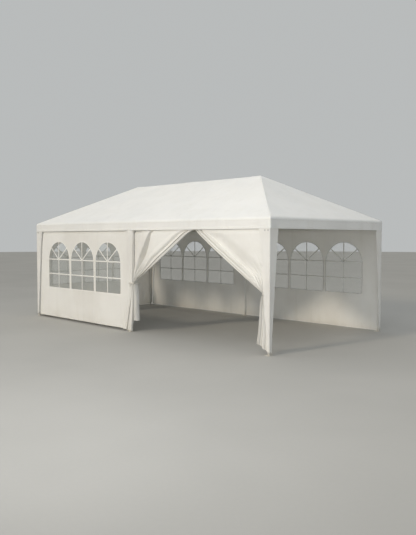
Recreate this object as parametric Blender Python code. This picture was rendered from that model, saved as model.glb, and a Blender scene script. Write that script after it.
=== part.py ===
# Marquee tent: a white sheet-covered party tent on a slip-together steel tube frame.
# Metres, +Z up. The long side runs along X and the door side faces -Y.
# The origin is on the ground under the middle of the tent.

import math

import bmesh
import bpy
from mathutils import Matrix, Vector

# Sizes over the cover
LENGTH = 6.0
WIDTH = 3.0
RIDGE_HEIGHT = 2.60
RIDGE_LENGTH = 3.20
EAVE_HEIGHT = 1.845
VALANCE_DEPTH = 0.15
EAVE_ROUNDING = 0.03

# Sheet thicknesses and the gaps between touching pieces
COVER_THICKNESS = 0.004
WALL_THICKNESS = 0.004
FILM_THICKNESS = 0.002
VALANCE_CLEARANCE = 0.002
TOUCH_GAP = 0.0003

# Steel tube and the sockets that join it
TUBE_RADIUS = 0.019
SOCKET_CLEARANCE = 0.0003
SOCKET_WALL = 0.0025
SOCKET_REACH = 0.15
SOCKET_DEPTH = 0.088
HUB_MARGIN = 0.0005
TUBE_END_GAP = 0.002
ROUND_SIDES = 12

# Foot plates
PLATE_SIZE = 0.09
PLATE_THICKNESS = 0.004
PLATE_TOE = 0.030
PEG_HOLE_RADIUS = 0.006
PEG_HOLE_EDGE = 0.014

# Wall panels
WALL_BOTTOM = 0.048
FRONT_WALL_OVERLAP = 0.10
WALL_EDGE_TOP = 0.20
WALL_EDGE_BOTTOM = 0.07
BACK_WALL_SEAM = 0.002

# Windows, three to a wall
WINDOW_COUNT = 3
WINDOW_WIDTH = 0.725
WINDOW_GAP = 0.06
WINDOW_SILL = 0.615
WINDOW_SPRING = 1.13
ARCH_STEPS = 16
FILM_BORDER = 0.03

# Corner wraps: the walls' edge strips, folded round the corner legs
WRAP_TOP_WIDTH = 0.17
WRAP_BOTTOM_WIDTH = 0.042
WRAP_BOTTOM = 0.12
WRAP_STEPS = 8

# Door curtains, tied back to the legs
CURTAIN_APEX_GAP = 0.012
TIE_HEIGHT = 0.82
LEFT_TIE_SPREAD = 0.065
RIGHT_TIE_SPREAD = 0.105
LEFT_TAIL_SPREAD = 0.13
RIGHT_TAIL_SPREAD = 0.19
LEFT_TAIL_BOTTOM = 0.20
RIGHT_TAIL_BOTTOM = 0.055
RIGHT_TAIL_RISE = 0.09
PLEAT_COUNT = 5
PLEAT_DEPTH = 0.040
CURTAIN_EDGE_PULL = 0.006
CURTAIN_HEM_BAND = 0.010
CURTAIN_COLUMNS = 40
CURTAIN_UPPER_ROWS = 7
CURTAIN_TAIL_ROWS = 4
TIE_BAND_HEIGHT = 0.022
TIE_BAND_THICKNESS = 0.0015
TIE_BAND_CORNER = 0.002
TIE_BAND_ROOM = 0.003
TIE_ZONE_MARGIN = 0.003
TIE_CORNER_STEPS = 4

# Worked-out sizes of the sockets and of the layers outside the frame
# A bore's flats, not its corners, keep the clearance to the tube.
SOCKET_BORE = (TUBE_RADIUS + SOCKET_CLEARANCE) / math.cos(math.pi / ROUND_SIDES)
SOCKET_RADIUS = SOCKET_BORE + SOCKET_WALL
HUB_RADIUS = SOCKET_RADIUS + HUB_MARGIN
TUBE_SETBACK = SOCKET_REACH - SOCKET_DEPTH + TUBE_END_GAP
WALL_INNER = HUB_RADIUS + TOUCH_GAP
WALL_OUTER = WALL_INNER + WALL_THICKNESS
COVER_OUTER = WALL_OUTER + VALANCE_CLEARANCE + COVER_THICKNESS

# Where the frame's centre lines run
HALF_LENGTH = LENGTH / 2
HALF_WIDTH = WIDTH / 2
LEG_X = HALF_LENGTH - COVER_OUTER
LEG_Y = HALF_WIDTH - COVER_OUTER
RISE = RIDGE_HEIGHT - EAVE_HEIGHT
SIDE_SLOPE = math.atan2(RISE, HALF_WIDTH)
END_SLOPE = math.atan2(RISE, HALF_LENGTH - RIDGE_LENGTH / 2)
COVER_STANDOFF = HUB_RADIUS + TOUCH_GAP + COVER_THICKNESS
BEAM_Z = EAVE_HEIGHT + min(
    COVER_OUTER * math.tan(slope) - COVER_STANDOFF / math.cos(slope)
    for slope in (SIDE_SLOPE, END_SLOPE)
)
RIDGE_Z = RIDGE_HEIGHT - COVER_STANDOFF / math.cos(SIDE_SLOPE)
RIDGE_X = HALF_LENGTH - (
    RIDGE_Z + COVER_STANDOFF / math.cos(END_SLOPE) - EAVE_HEIGHT
) / math.tan(END_SLOPE)

# Heights and planes that the fabric shares
VALANCE_BOTTOM = EAVE_HEIGHT - VALANCE_DEPTH
WALL_TOP = BEAM_Z
FACE_X = LEG_X + WALL_INNER
FACE_Y = LEG_Y + WALL_INNER
ARCH_RADIUS = WINDOW_WIDTH / 2
WINDOW_SPACING = WINDOW_WIDTH + WINDOW_GAP
BAY_CENTRE = LEG_X / 2
TIE_TOP = TIE_HEIGHT + TIE_BAND_HEIGHT / 2 + TIE_ZONE_MARGIN
TIE_BOTTOM = TIE_HEIGHT - TIE_BAND_HEIGHT / 2 - TIE_ZONE_MARGIN


def clear_scene():
    for old in list(bpy.data.objects):
        bpy.data.objects.remove(old)


def make_material(name, colour, roughness, metallic=0.0, alpha=1.0):
    material = bpy.data.materials.new(name)
    material.use_nodes = True
    shader = material.node_tree.nodes["Principled BSDF"]
    shader.inputs["Base Color"].default_value = (*colour, 1.0)
    shader.inputs["Roughness"].default_value = roughness
    shader.inputs["Metallic"].default_value = metallic
    shader.inputs["Alpha"].default_value = alpha
    return material


def add_object(name, data, material):
    obj = bpy.data.objects.new(name, data)
    bpy.context.scene.collection.objects.link(obj)
    if material:
        data.materials.append(material)
    return obj


def add_bmesh(name, bm, material):
    bmesh.ops.recalc_face_normals(bm, faces=bm.faces[:])
    mesh = bpy.data.meshes.new(name)
    bm.to_mesh(mesh)
    bm.free()
    return add_object(name, mesh, material)


def as_helper(obj):
    """A cutter or a shape to join: it isn't a piece of the tent."""
    obj.hide_render = True
    obj.display_type = "WIRE"
    return obj


def smooth_round(obj):
    obj.data.shade_smooth()
    obj.data.set_sharp_from_angle(angle=math.radians(40))


def add_round_bar(name, start, end, radius, material=None):
    """A straight round bar between two points, its origin at the start."""
    run = Vector(end) - Vector(start)
    bm = bmesh.new()
    bmesh.ops.create_cone(
        bm,
        cap_ends=True,
        segments=ROUND_SIDES,
        radius1=radius,
        radius2=radius,
        depth=run.length,
        matrix=Matrix.Translation((0, 0, run.length / 2)),
    )
    obj = add_bmesh(name, bm, material)
    obj.location = start
    obj.rotation_mode = "QUATERNION"
    obj.rotation_quaternion = run.to_track_quat("Z", "Y")
    smooth_round(obj)
    return obj


def add_block(name, low, high, material=None):
    low, high = Vector(low), Vector(high)
    bm = bmesh.new()
    bmesh.ops.create_cube(bm, size=1.0)
    bmesh.ops.scale(bm, vec=high - low, verts=bm.verts[:])
    obj = add_bmesh(name, bm, material)
    obj.location = (low + high) / 2
    return obj


def add_boolean(obj, operation, helpers):
    """Joins or cuts with every helper at once, through a collection of their own."""
    group = bpy.data.collections.new(f"{obj.name}_{operation.lower()}")
    for helper in helpers:
        group.objects.link(as_helper(helper))
    modifier = obj.modifiers.new(operation.lower(), "BOOLEAN")
    modifier.operation = operation
    modifier.operand_type = "COLLECTION"
    modifier.collection = group
    modifier.solver = "EXACT"


# Frame

FRONT, BACK = -1, 1
LEFT, RIGHT = -1, 1
SIDE_NAMES = {FRONT: "front", BACK: "back"}
END_NAMES = {LEFT: "left", RIGHT: "right"}


def corner_hub(end, side):
    return Vector((end * LEG_X, side * LEG_Y, BEAM_Z))


def middle_hub(side):
    return Vector((0.0, side * LEG_Y, BEAM_Z))


def ridge_hub(end):
    return Vector((end * RIDGE_X, 0.0, RIDGE_Z))


def foot_of(hub):
    return Vector((hub.x, hub.y, 0.0))


def add_tube(name, hub_a, hub_b, material):
    """A tube that enters the sockets of the hubs at both ends."""
    along = (hub_b - hub_a).normalized() * TUBE_SETBACK
    return add_round_bar(name, hub_a + along, hub_b - along, TUBE_RADIUS, material)


def add_connector(name, hub, neighbours, material):
    """A hub ball with one bored socket towards each neighbouring hub or foot."""
    bm = bmesh.new()
    bmesh.ops.create_uvsphere(
        bm, u_segments=ROUND_SIDES, v_segments=ROUND_SIDES // 2, radius=HUB_RADIUS
    )
    obj = add_bmesh(name, bm, material)
    obj.location = hub
    sockets, bores = [], []
    for number, neighbour in enumerate(neighbours):
        way = (neighbour - hub).normalized()
        mouth = hub + way * SOCKET_REACH
        sockets.append(
            add_round_bar(f"{name}_socket_{number}", hub, mouth, SOCKET_RADIUS)
        )
        bottom = mouth - way * SOCKET_DEPTH
        past_mouth = mouth + way * SOCKET_WALL
        bores.append(
            add_round_bar(f"{name}_bore_{number}", bottom, past_mouth, SOCKET_BORE)
        )
    add_boolean(obj, "UNION", sockets)
    add_boolean(obj, "DIFFERENCE", bores)
    return obj


def add_leg(name, hub, end, side, material):
    """A leg tube welded to a foot plate that points inwards, with a peg hole."""
    foot = foot_of(hub)
    top = hub - Vector((0, 0, TUBE_SETBACK))
    leg = add_round_bar(name, foot, top, TUBE_RADIUS, material)
    far = PLATE_SIZE - PLATE_TOE
    reach_x = (-PLATE_SIZE / 2, PLATE_SIZE / 2)
    if end:
        reach_x = tuple(sorted((end * PLATE_TOE, -end * far)))
    reach_y = tuple(sorted((side * PLATE_TOE, -side * far)))
    plate = add_block(
        f"{name}_plate",
        (foot.x + reach_x[0], foot.y + reach_y[0], 0),
        (foot.x + reach_x[1], foot.y + reach_y[1], PLATE_THICKNESS),
    )
    hole_x = foot.x - end * (far - PEG_HOLE_EDGE)
    hole_y = foot.y - side * (far - PEG_HOLE_EDGE)
    hole = add_round_bar(
        f"{name}_peg_hole",
        (hole_x, hole_y, -PLATE_THICKNESS),
        (hole_x, hole_y, 2 * PLATE_THICKNESS),
        PEG_HOLE_RADIUS,
    )
    add_boolean(leg, "UNION", [plate])
    add_boolean(leg, "DIFFERENCE", [hole])
    return leg


def add_frame(paint):
    for side in (FRONT, BACK):
        side_name = SIDE_NAMES[side]
        middle = middle_hub(side)
        ridge_middle = Vector((0.0, 0.0, RIDGE_Z))
        add_leg(f"leg_{side_name}_middle", middle, 0, side, paint)
        add_tube(f"rafter_{side_name}_middle", middle, ridge_middle, paint)
        add_connector(
            f"connector_{side_name}_middle",
            middle,
            [foot_of(middle), corner_hub(LEFT, side), corner_hub(RIGHT, side), ridge_middle],
            paint,
        )
        for end in (LEFT, RIGHT):
            place = f"{side_name}_{END_NAMES[end]}"
            corner = corner_hub(end, side)
            add_leg(f"leg_{place}", corner, end, side, paint)
            add_tube(f"eave_beam_{place}", corner, middle, paint)
            add_tube(f"hip_rafter_{place}", corner, ridge_hub(end), paint)
            add_connector(
                f"connector_{place}",
                corner,
                [foot_of(corner), middle, corner_hub(end, -side), ridge_hub(end)],
                paint,
            )
    for end in (LEFT, RIGHT):
        end_name = END_NAMES[end]
        ridge_middle = Vector((0.0, 0.0, RIDGE_Z))
        add_tube(
            f"eave_beam_{end_name}_end", corner_hub(end, FRONT), corner_hub(end, BACK), paint
        )
        add_tube(f"ridge_beam_{end_name}", ridge_hub(end), ridge_middle, paint)
        add_connector(
            f"connector_ridge_{end_name}",
            ridge_hub(end),
            [ridge_middle, corner_hub(end, FRONT), corner_hub(end, BACK)],
            paint,
        )
    add_connector(
        "connector_ridge_middle",
        Vector((0.0, 0.0, RIDGE_Z)),
        [ridge_hub(LEFT), ridge_hub(RIGHT), middle_hub(FRONT), middle_hub(BACK)],
        paint,
    )


# Roof cover


def rounding_centre_z(slope):
    return EAVE_HEIGHT + EAVE_ROUNDING * (math.tan(slope) - 1 / math.cos(slope))


def cover_reach(z, half_span, slope, inset):
    """How far out the cover's face is at a height: inset 0 is its outer face."""
    radius = EAVE_ROUNDING - inset
    up = z - rounding_centre_z(slope)
    if up <= 0:
        return half_span - inset
    if up < radius * math.cos(slope):
        return half_span - EAVE_ROUNDING + math.sqrt(radius**2 - up**2)
    return half_span - (z + inset / math.cos(slope) - EAVE_HEIGHT) / math.tan(slope)


def cover_rings(inset):
    """Rectangles of four corners from the valance's hem up to where the slopes begin."""
    radius = EAVE_ROUNDING - inset
    start = rounding_centre_z(SIDE_SLOPE)
    heights = [VALANCE_BOTTOM]
    for turn in (0.0, 0.25, 0.5, 0.75):
        heights.append(start + radius * math.sin(turn * (math.pi / 2 - SIDE_SLOPE)))
    heights.append(
        max(
            rounding_centre_z(slope) + radius * math.cos(slope)
            for slope in (SIDE_SLOPE, END_SLOPE)
        )
    )
    rings = []
    for z in heights:
        x = cover_reach(z, HALF_LENGTH, END_SLOPE, inset)
        y = cover_reach(z, HALF_WIDTH, SIDE_SLOPE, inset)
        rings.append([(-x, -y, z), (x, -y, z), (x, y, z), (-x, y, z)])
    return rings


def cover_ridge(inset):
    z = RIDGE_HEIGHT - inset / math.cos(SIDE_SLOPE)
    x = cover_reach(z, HALF_LENGTH, END_SLOPE, inset)
    return [(-x, 0.0, z), (x, 0.0, z)]


def add_cover_face(bm, inset):
    rings = [[bm.verts.new(p) for p in ring] for ring in cover_rings(inset)]
    left, right = (bm.verts.new(p) for p in cover_ridge(inset))
    for lower, upper in zip(rings, rings[1:]):
        for k in range(4):
            after = (k + 1) % 4
            bm.faces.new((lower[k], lower[after], upper[after], upper[k]))
    top = rings[-1]
    bm.faces.new((top[0], top[1], right, left))
    bm.faces.new((top[1], top[2], right))
    bm.faces.new((top[2], top[3], left, right))
    bm.faces.new((top[3], top[0], left))
    return rings[0]


def add_roof_cover(material):
    """One sheet: four slopes, a rounded eave and a valance, with an outer and an inner face."""
    bm = bmesh.new()
    outer_hem = add_cover_face(bm, 0.0)
    inner_hem = add_cover_face(bm, COVER_THICKNESS)
    for k in range(4):
        after = (k + 1) % 4
        bm.faces.new((outer_hem[k], outer_hem[after], inner_hem[after], inner_hem[k]))
    return add_bmesh("roof_cover", bm, material)


# Flat panels


def add_panel(name, outline, holes, thickness, material):
    """A flat sheet in its own XY plane from closed outlines, its thickness along Z from 0."""
    curve = bpy.data.curves.new(name, "CURVE")
    curve.dimensions = "2D"
    curve.fill_mode = "BOTH"
    curve.extrude = thickness / 2
    for points in [outline, *holes]:
        spline = curve.splines.new("POLY")
        spline.points.add(len(points) - 1)
        for point, (x, y) in zip(spline.points, points):
            point.co = (x, y, 0.0, 1.0)
        spline.use_cyclic_u = True
    return add_object(name, curve, material)


def stand_panel(obj, facing, face, thickness):
    """Stands a panel up with its inner face at a distance from the origin, facing out."""
    turn = {"front": 0.0, "right": 90.0, "back": 180.0, "left": -90.0}[facing]
    about_z = Matrix.Rotation(math.radians(turn), 4, "Z")
    upright = Matrix.Rotation(math.radians(90), 4, "X")
    out = Matrix.Translation((0.0, -(face + thickness / 2), 0.0))
    obj.matrix_world = about_z @ out @ upright


def window_centres(centre):
    first = centre - WINDOW_SPACING * (WINDOW_COUNT - 1) / 2
    return [first + WINDOW_SPACING * k for k in range(WINDOW_COUNT)]


def arched_outline(centre):
    points = [(centre - ARCH_RADIUS, WINDOW_SILL), (centre + ARCH_RADIUS, WINDOW_SILL)]
    for k in range(ARCH_STEPS + 1):
        angle = math.pi * k / ARCH_STEPS
        points.append(
            (
                centre + ARCH_RADIUS * math.cos(angle),
                WINDOW_SPRING + ARCH_RADIUS * math.sin(angle),
            )
        )
    return points


def add_window_wall(place, facing, face, edges, centre, fabric, film):
    """A wall sheet with its row of arched windows, and one clear film behind them.
    The edges are the left and right ends at the bottom, then the right and left at the top."""
    bottom_left, bottom_right, top_right, top_left = edges
    outline = [
        (bottom_left, WALL_BOTTOM),
        (bottom_right, WALL_BOTTOM),
        (top_right, WALL_TOP),
        (top_left, WALL_TOP),
    ]
    centres = window_centres(centre)
    holes = [arched_outline(x) for x in centres]
    wall = add_panel(f"wall_{place}", outline, holes, WALL_THICKNESS, fabric)
    stand_panel(wall, facing, face, WALL_THICKNESS)
    low_x = centres[0] - ARCH_RADIUS - FILM_BORDER
    high_x = centres[-1] + ARCH_RADIUS + FILM_BORDER
    low_z = WINDOW_SILL - FILM_BORDER
    high_z = WINDOW_SPRING + ARCH_RADIUS + FILM_BORDER
    sheet = [(low_x, low_z), (high_x, low_z), (high_x, high_z), (low_x, high_z)]
    pane = add_panel(f"window_film_{place}", sheet, [], FILM_THICKNESS, film)
    stand_panel(pane, facing, face - TOUCH_GAP - FILM_THICKNESS, FILM_THICKNESS)


def add_walls(fabric, film):
    # Seen from outside, x runs to the right on the front and to the left on the back.
    outer_x = FACE_X + WALL_THICKNESS
    slanted = (outer_x - WALL_EDGE_BOTTOM, outer_x - WALL_EDGE_TOP)
    front_right = FRONT_WALL_OVERLAP
    front_middle = (front_right - (slanted[0] + slanted[1]) / 2) / 2
    add_window_wall(
        "front_left",
        "front",
        FACE_Y,
        (-slanted[0], front_right, front_right, -slanted[1]),
        front_middle,
        fabric,
        film,
    )
    add_window_wall(
        "back_left",
        "back",
        FACE_Y,
        (BACK_WALL_SEAM, slanted[0], slanted[1], BACK_WALL_SEAM),
        BAY_CENTRE,
        fabric,
        film,
    )
    right_edge = FACE_X - TOUCH_GAP
    add_window_wall(
        "back_right",
        "back",
        FACE_Y,
        (-right_edge, -BACK_WALL_SEAM, -BACK_WALL_SEAM, -right_edge),
        -BAY_CENTRE,
        fabric,
        film,
    )
    end_edge = FACE_Y - TOUCH_GAP
    add_window_wall(
        "left_end",
        "left",
        FACE_X,
        (-end_edge, end_edge, end_edge, -end_edge),
        0.0,
        fabric,
        film,
    )


def wrap_width(z):
    """The wrap narrows towards the foot, where the cloth is drawn in to the leg."""
    share = (z - WRAP_BOTTOM) / (WALL_TOP - WRAP_BOTTOM)
    return WRAP_BOTTOM_WIDTH + (WRAP_TOP_WIDTH - WRAP_BOTTOM_WIDTH) * share**2


def add_corner_wrap(name, facing, face, corner, fabric):
    """A strip beside a corner; corner is the signed place of the corner edge seen from outside."""
    inwards = -math.copysign(1.0, corner)
    outline = [(corner, WALL_TOP), (corner, WRAP_BOTTOM)]
    for k in range(WRAP_STEPS + 1):
        z = WRAP_BOTTOM + (WALL_TOP - WRAP_BOTTOM) * k / WRAP_STEPS
        outline.append((corner + inwards * wrap_width(z), z))
    strip = add_panel(name, outline, [], WALL_THICKNESS, fabric)
    stand_panel(strip, facing, face, WALL_THICKNESS)


def add_corner_wraps(fabric):
    corner_x = FACE_X + WALL_THICKNESS
    corner_y = FACE_Y + WALL_THICKNESS
    add_corner_wrap("corner_wrap_front_left", "front", FACE_Y, -corner_x, fabric)
    add_corner_wrap("corner_wrap_back_left", "back", FACE_Y, corner_x, fabric)
    add_corner_wrap("corner_wrap_front_right", "right", FACE_X, -corner_y, fabric)
    add_corner_wrap("corner_wrap_back_right", "right", FACE_X, corner_y, fabric)


# Door curtains


def curtain_gather(z):
    """How far the sheet is drawn together at a height: 0 at the valance, 1 from the tie down."""
    share = (VALANCE_BOTTOM - z) / (VALANCE_BOTTOM - TIE_TOP)
    return min(max(share, 0.0), 1.0)


def curtain_width(z, top_width, spreads, tail_bottom):
    tie_spread, tail_spread = spreads
    if z >= TIE_BOTTOM:
        return top_width + (tie_spread - top_width) * curtain_gather(z)
    share = (TIE_BOTTOM - z) / (TIE_BOTTOM - tail_bottom)
    return tie_spread + (tail_spread - tie_spread) * math.sqrt(share)


def curtain_heights(tail_bottom):
    heights = [WALL_TOP]
    for k in range(CURTAIN_UPPER_ROWS + 1):
        share = k / CURTAIN_UPPER_ROWS
        heights.append(VALANCE_BOTTOM + (TIE_TOP - VALANCE_BOTTOM) * share)
    for k in range(CURTAIN_TAIL_ROWS + 1):
        share = k / CURTAIN_TAIL_ROWS
        heights.append(TIE_BOTTOM + (tail_bottom - TIE_BOTTOM) * share)
    return heights


def curtain_row(z, edges, flat_band, spreads, tail):
    """The sheet's middle line at a height, from the leg side to the free edge."""
    leg_edge, centre_edge = edges
    tail_bottom, tail_rise = tail
    inwards = math.copysign(1.0, centre_edge - leg_edge)
    gather = curtain_gather(z)
    width = curtain_width(z, abs(centre_edge - leg_edge), spreads, tail_bottom)
    below_tie = max(0.0, TIE_BOTTOM - z) / (TIE_BOTTOM - tail_bottom)
    points = []
    for k in range(CURTAIN_COLUMNS + 1):
        share = k / CURTAIN_COLUMNS
        pleated = max(0.0, width * share - flat_band) / (width - flat_band)
        wave = 0.5 - 0.5 * math.cos(2 * math.pi * PLEAT_COUNT * pleated)
        x = leg_edge + inwards * (CURTAIN_EDGE_PULL * gather + width * share)
        y = -(FACE_Y + WALL_THICKNESS / 2) + PLEAT_DEPTH * gather * wave
        points.append((x, y, z + tail_rise * share * below_tie))
    return points


def add_curtain(name, edges, flat_band, spreads, tail, material):
    """Half of the door: one closed sheet, pleated towards its tie, with a tail below.
    Edges are the leg side's and the free side's X; the tail is its bottom and how far
    that rises towards the free edge."""
    rows = [
        curtain_row(z, edges, flat_band, spreads, tail) for z in curtain_heights(tail[0])
    ]
    bm = bmesh.new()
    outer, inner = (
        [[bm.verts.new((x, y + offset, z)) for x, y, z in row] for row in rows]
        for offset in (-WALL_THICKNESS / 2, WALL_THICKNESS / 2)
    )
    last_row, last_column = len(rows) - 1, CURTAIN_COLUMNS
    for grid in (outer, inner):
        for r in range(last_row):
            for k in range(last_column):
                bm.faces.new((grid[r][k], grid[r][k + 1], grid[r + 1][k + 1], grid[r + 1][k]))
    rim = [(0, k) for k in range(last_column)]
    rim += [(r, last_column) for r in range(last_row)]
    rim += [(last_row, last_column - k) for k in range(last_column)]
    rim += [(last_row - r, 0) for r in range(last_row)]
    for (r, k), (r2, k2) in zip(rim, rim[1:] + rim[:1]):
        bm.faces.new((outer[r][k], outer[r2][k2], inner[r2][k2], inner[r][k]))
    return add_bmesh(name, bm, material)


def rounded_rectangle(low, high, radius):
    turns = (
        (high[0] - radius, low[1] + radius, -90),
        (high[0] - radius, high[1] - radius, 0),
        (low[0] + radius, high[1] - radius, 90),
        (low[0] + radius, low[1] + radius, 180),
    )
    points = []
    for x, y, first in turns:
        for k in range(TIE_CORNER_STEPS + 1):
            angle = math.radians(first + 90 * k / TIE_CORNER_STEPS)
            points.append((x + radius * math.cos(angle), y + radius * math.sin(angle)))
    return points


def add_tie_band(name, edges, inner_side, material):
    """A flat band round the gathered curtain; edges are its lowest and highest X inside."""
    low = (edges[0], -(FACE_Y + WALL_THICKNESS + TOUCH_GAP))
    high = (edges[1], inner_side)
    thickness = TIE_BAND_THICKNESS
    around = rounded_rectangle(
        (low[0] - thickness, low[1] - thickness),
        (high[0] + thickness, high[1] + thickness),
        TIE_BAND_CORNER + thickness,
    )
    inside = rounded_rectangle(low, high, TIE_BAND_CORNER)
    band = add_panel(name, around, [inside], TIE_BAND_HEIGHT, material)
    band.location.z = TIE_HEIGHT
    return band


def add_curtains(fabric):
    left_edge = FRONT_WALL_OVERLAP + VALANCE_CLEARANCE
    right_edge = FACE_X - TOUCH_GAP
    door_middle = (left_edge + right_edge) / 2
    add_curtain(
        "door_curtain_left",
        (left_edge, door_middle - CURTAIN_APEX_GAP / 2),
        CURTAIN_HEM_BAND,
        (LEFT_TIE_SPREAD, LEFT_TAIL_SPREAD),
        (LEFT_TAIL_BOTTOM, 0.0),
        fabric,
    )
    bundle_start = left_edge + CURTAIN_EDGE_PULL
    add_tie_band(
        "curtain_tie_left",
        (bundle_start - TIE_BAND_ROOM, bundle_start + LEFT_TIE_SPREAD + TIE_BAND_ROOM),
        -(FACE_Y - PLEAT_DEPTH - TOUCH_GAP),
        fabric,
    )
    # The right curtain lies flat where it passes in front of the corner leg.
    add_curtain(
        "door_curtain_right",
        (right_edge, door_middle + CURTAIN_APEX_GAP / 2),
        WALL_INNER + TUBE_RADIUS + VALANCE_CLEARANCE,
        (RIGHT_TIE_SPREAD, RIGHT_TAIL_SPREAD),
        (RIGHT_TAIL_BOTTOM, RIGHT_TAIL_RISE),
        fabric,
    )
    bundle_end = right_edge - CURTAIN_EDGE_PULL - RIGHT_TIE_SPREAD
    add_tie_band(
        "curtain_tie_right",
        (bundle_end - TIE_BAND_ROOM, LEG_X + TUBE_RADIUS + TOUCH_GAP),
        -(LEG_Y - TUBE_RADIUS - TOUCH_GAP),
        fabric,
    )


def main():
    clear_scene()
    paint = make_material("white_powder_coat", (0.80, 0.80, 0.79), 0.35)
    roof_sheet = make_material("roof_sheet", (0.86, 0.86, 0.84), 0.5)
    wall_sheet = make_material("wall_sheet", (0.84, 0.82, 0.78), 0.55)
    clear_film = make_material("clear_film", (0.85, 0.88, 0.86), 0.12, alpha=0.25)
    add_frame(paint)
    add_roof_cover(roof_sheet)
    add_walls(wall_sheet, clear_film)
    add_corner_wraps(wall_sheet)
    add_curtains(wall_sheet)


main()
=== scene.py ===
import math
import random

import bmesh
import bpy
import numpy as np
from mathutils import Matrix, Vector


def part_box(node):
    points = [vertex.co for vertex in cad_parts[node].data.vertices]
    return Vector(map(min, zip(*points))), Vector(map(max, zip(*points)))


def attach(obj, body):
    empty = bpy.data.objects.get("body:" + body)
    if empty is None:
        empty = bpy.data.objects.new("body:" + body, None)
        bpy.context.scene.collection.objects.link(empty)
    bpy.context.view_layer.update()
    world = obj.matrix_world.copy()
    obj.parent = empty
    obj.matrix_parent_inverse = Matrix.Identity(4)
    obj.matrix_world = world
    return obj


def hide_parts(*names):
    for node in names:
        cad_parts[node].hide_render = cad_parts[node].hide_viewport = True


# The dressed marquee tent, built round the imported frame. Metres, +Z up, the door side faces -Y.
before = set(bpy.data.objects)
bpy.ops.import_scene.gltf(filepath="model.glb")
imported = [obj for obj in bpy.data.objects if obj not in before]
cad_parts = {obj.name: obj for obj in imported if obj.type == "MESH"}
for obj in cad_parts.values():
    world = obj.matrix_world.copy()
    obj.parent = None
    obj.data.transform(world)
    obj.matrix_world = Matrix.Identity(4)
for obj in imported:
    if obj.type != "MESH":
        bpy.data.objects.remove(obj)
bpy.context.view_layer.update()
print("frame loaded:", len(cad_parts), "nodes")


# camera and light

studio = {
    "cameraPlace": (7.872, -7.626, 1.569),
    "cameraTurn": (87.15, 0.0, 44.46),  # degrees
    "lens": 39.9,
    "sensor": 36.0,
    "clipEnd": 200.0,
    "skyColour": (0.485, 0.50, 0.50, 1.0),
    "skyPower": 1.0,
    "floorColour": (0.46, 0.455, 0.435, 1.0),
    "floorRadii": (60.0, 40.0, 20.0, 10.0, 5.0, 2.0, 0.0),
    "floorSides": 64,
    "floorDrop": 0.0005,
}
lamps = {  # where each stands, the point it shines at (straight down without one) and its settings
    "lowSun": {"kind": "SUN", "place": (-1.5, -9.3, 3.7), "aim": (0.0, 0.0, 0.0),
               "settings": {"energy": 1.20, "angle": math.radians(8.0), "color": (1.0, 0.875, 0.70)}},
    "softBox": {"kind": "AREA", "place": (1.0, -4.0, 9.0), "aim": None,
                "settings": {"shape": "SQUARE", "size": 14.0, "energy": 256.0}},
    "fillBox": {"kind": "AREA", "place": (4.2, -6.4, 3.0), "aim": (2.3, -1.5, 1.3),
                "settings": {"shape": "SQUARE", "size": 3.0, "energy": 80.0}},
}


def setUpCamera():
    lens = bpy.data.cameras.new("photoView")
    lens.lens = studio["lens"]
    lens.sensor_width = studio["sensor"]
    lens.clip_end = studio["clipEnd"]
    camera = bpy.data.objects.new("photoView", lens)
    camera.location = studio["cameraPlace"]
    camera.rotation_euler = [math.radians(a) for a in studio["cameraTurn"]]
    bpy.context.scene.collection.objects.link(camera)
    bpy.context.scene.camera = camera


def addLamp(name, kind, place, aim, settings):
    light = bpy.data.lights.new(name, kind)
    for key, value in settings.items():
        setattr(light, key, value)
    lamp = bpy.data.objects.new(name, light)
    lamp.location = place
    if aim:
        lamp.rotation_mode = "QUATERNION"
        lamp.rotation_quaternion = (Vector(place) - Vector(aim)).to_track_quat("Z", "Y")
    lamp.visible_camera = kind == "SUN"
    bpy.context.scene.collection.objects.link(lamp)


def setUpSky():
    world = bpy.data.worlds.new("softSky")
    world.use_nodes = True
    sky = world.node_tree.nodes["Background"].inputs
    sky["Color"].default_value = studio["skyColour"]
    sky["Strength"].default_value = studio["skyPower"]
    bpy.context.scene.world = world


bpy.context.scene.view_settings.view_transform = "Standard"
setUpCamera()
for lampName, lamp in lamps.items():
    addLamp(lampName, **lamp)
setUpSky()
print("camera and light ready")


# shader maths

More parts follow.
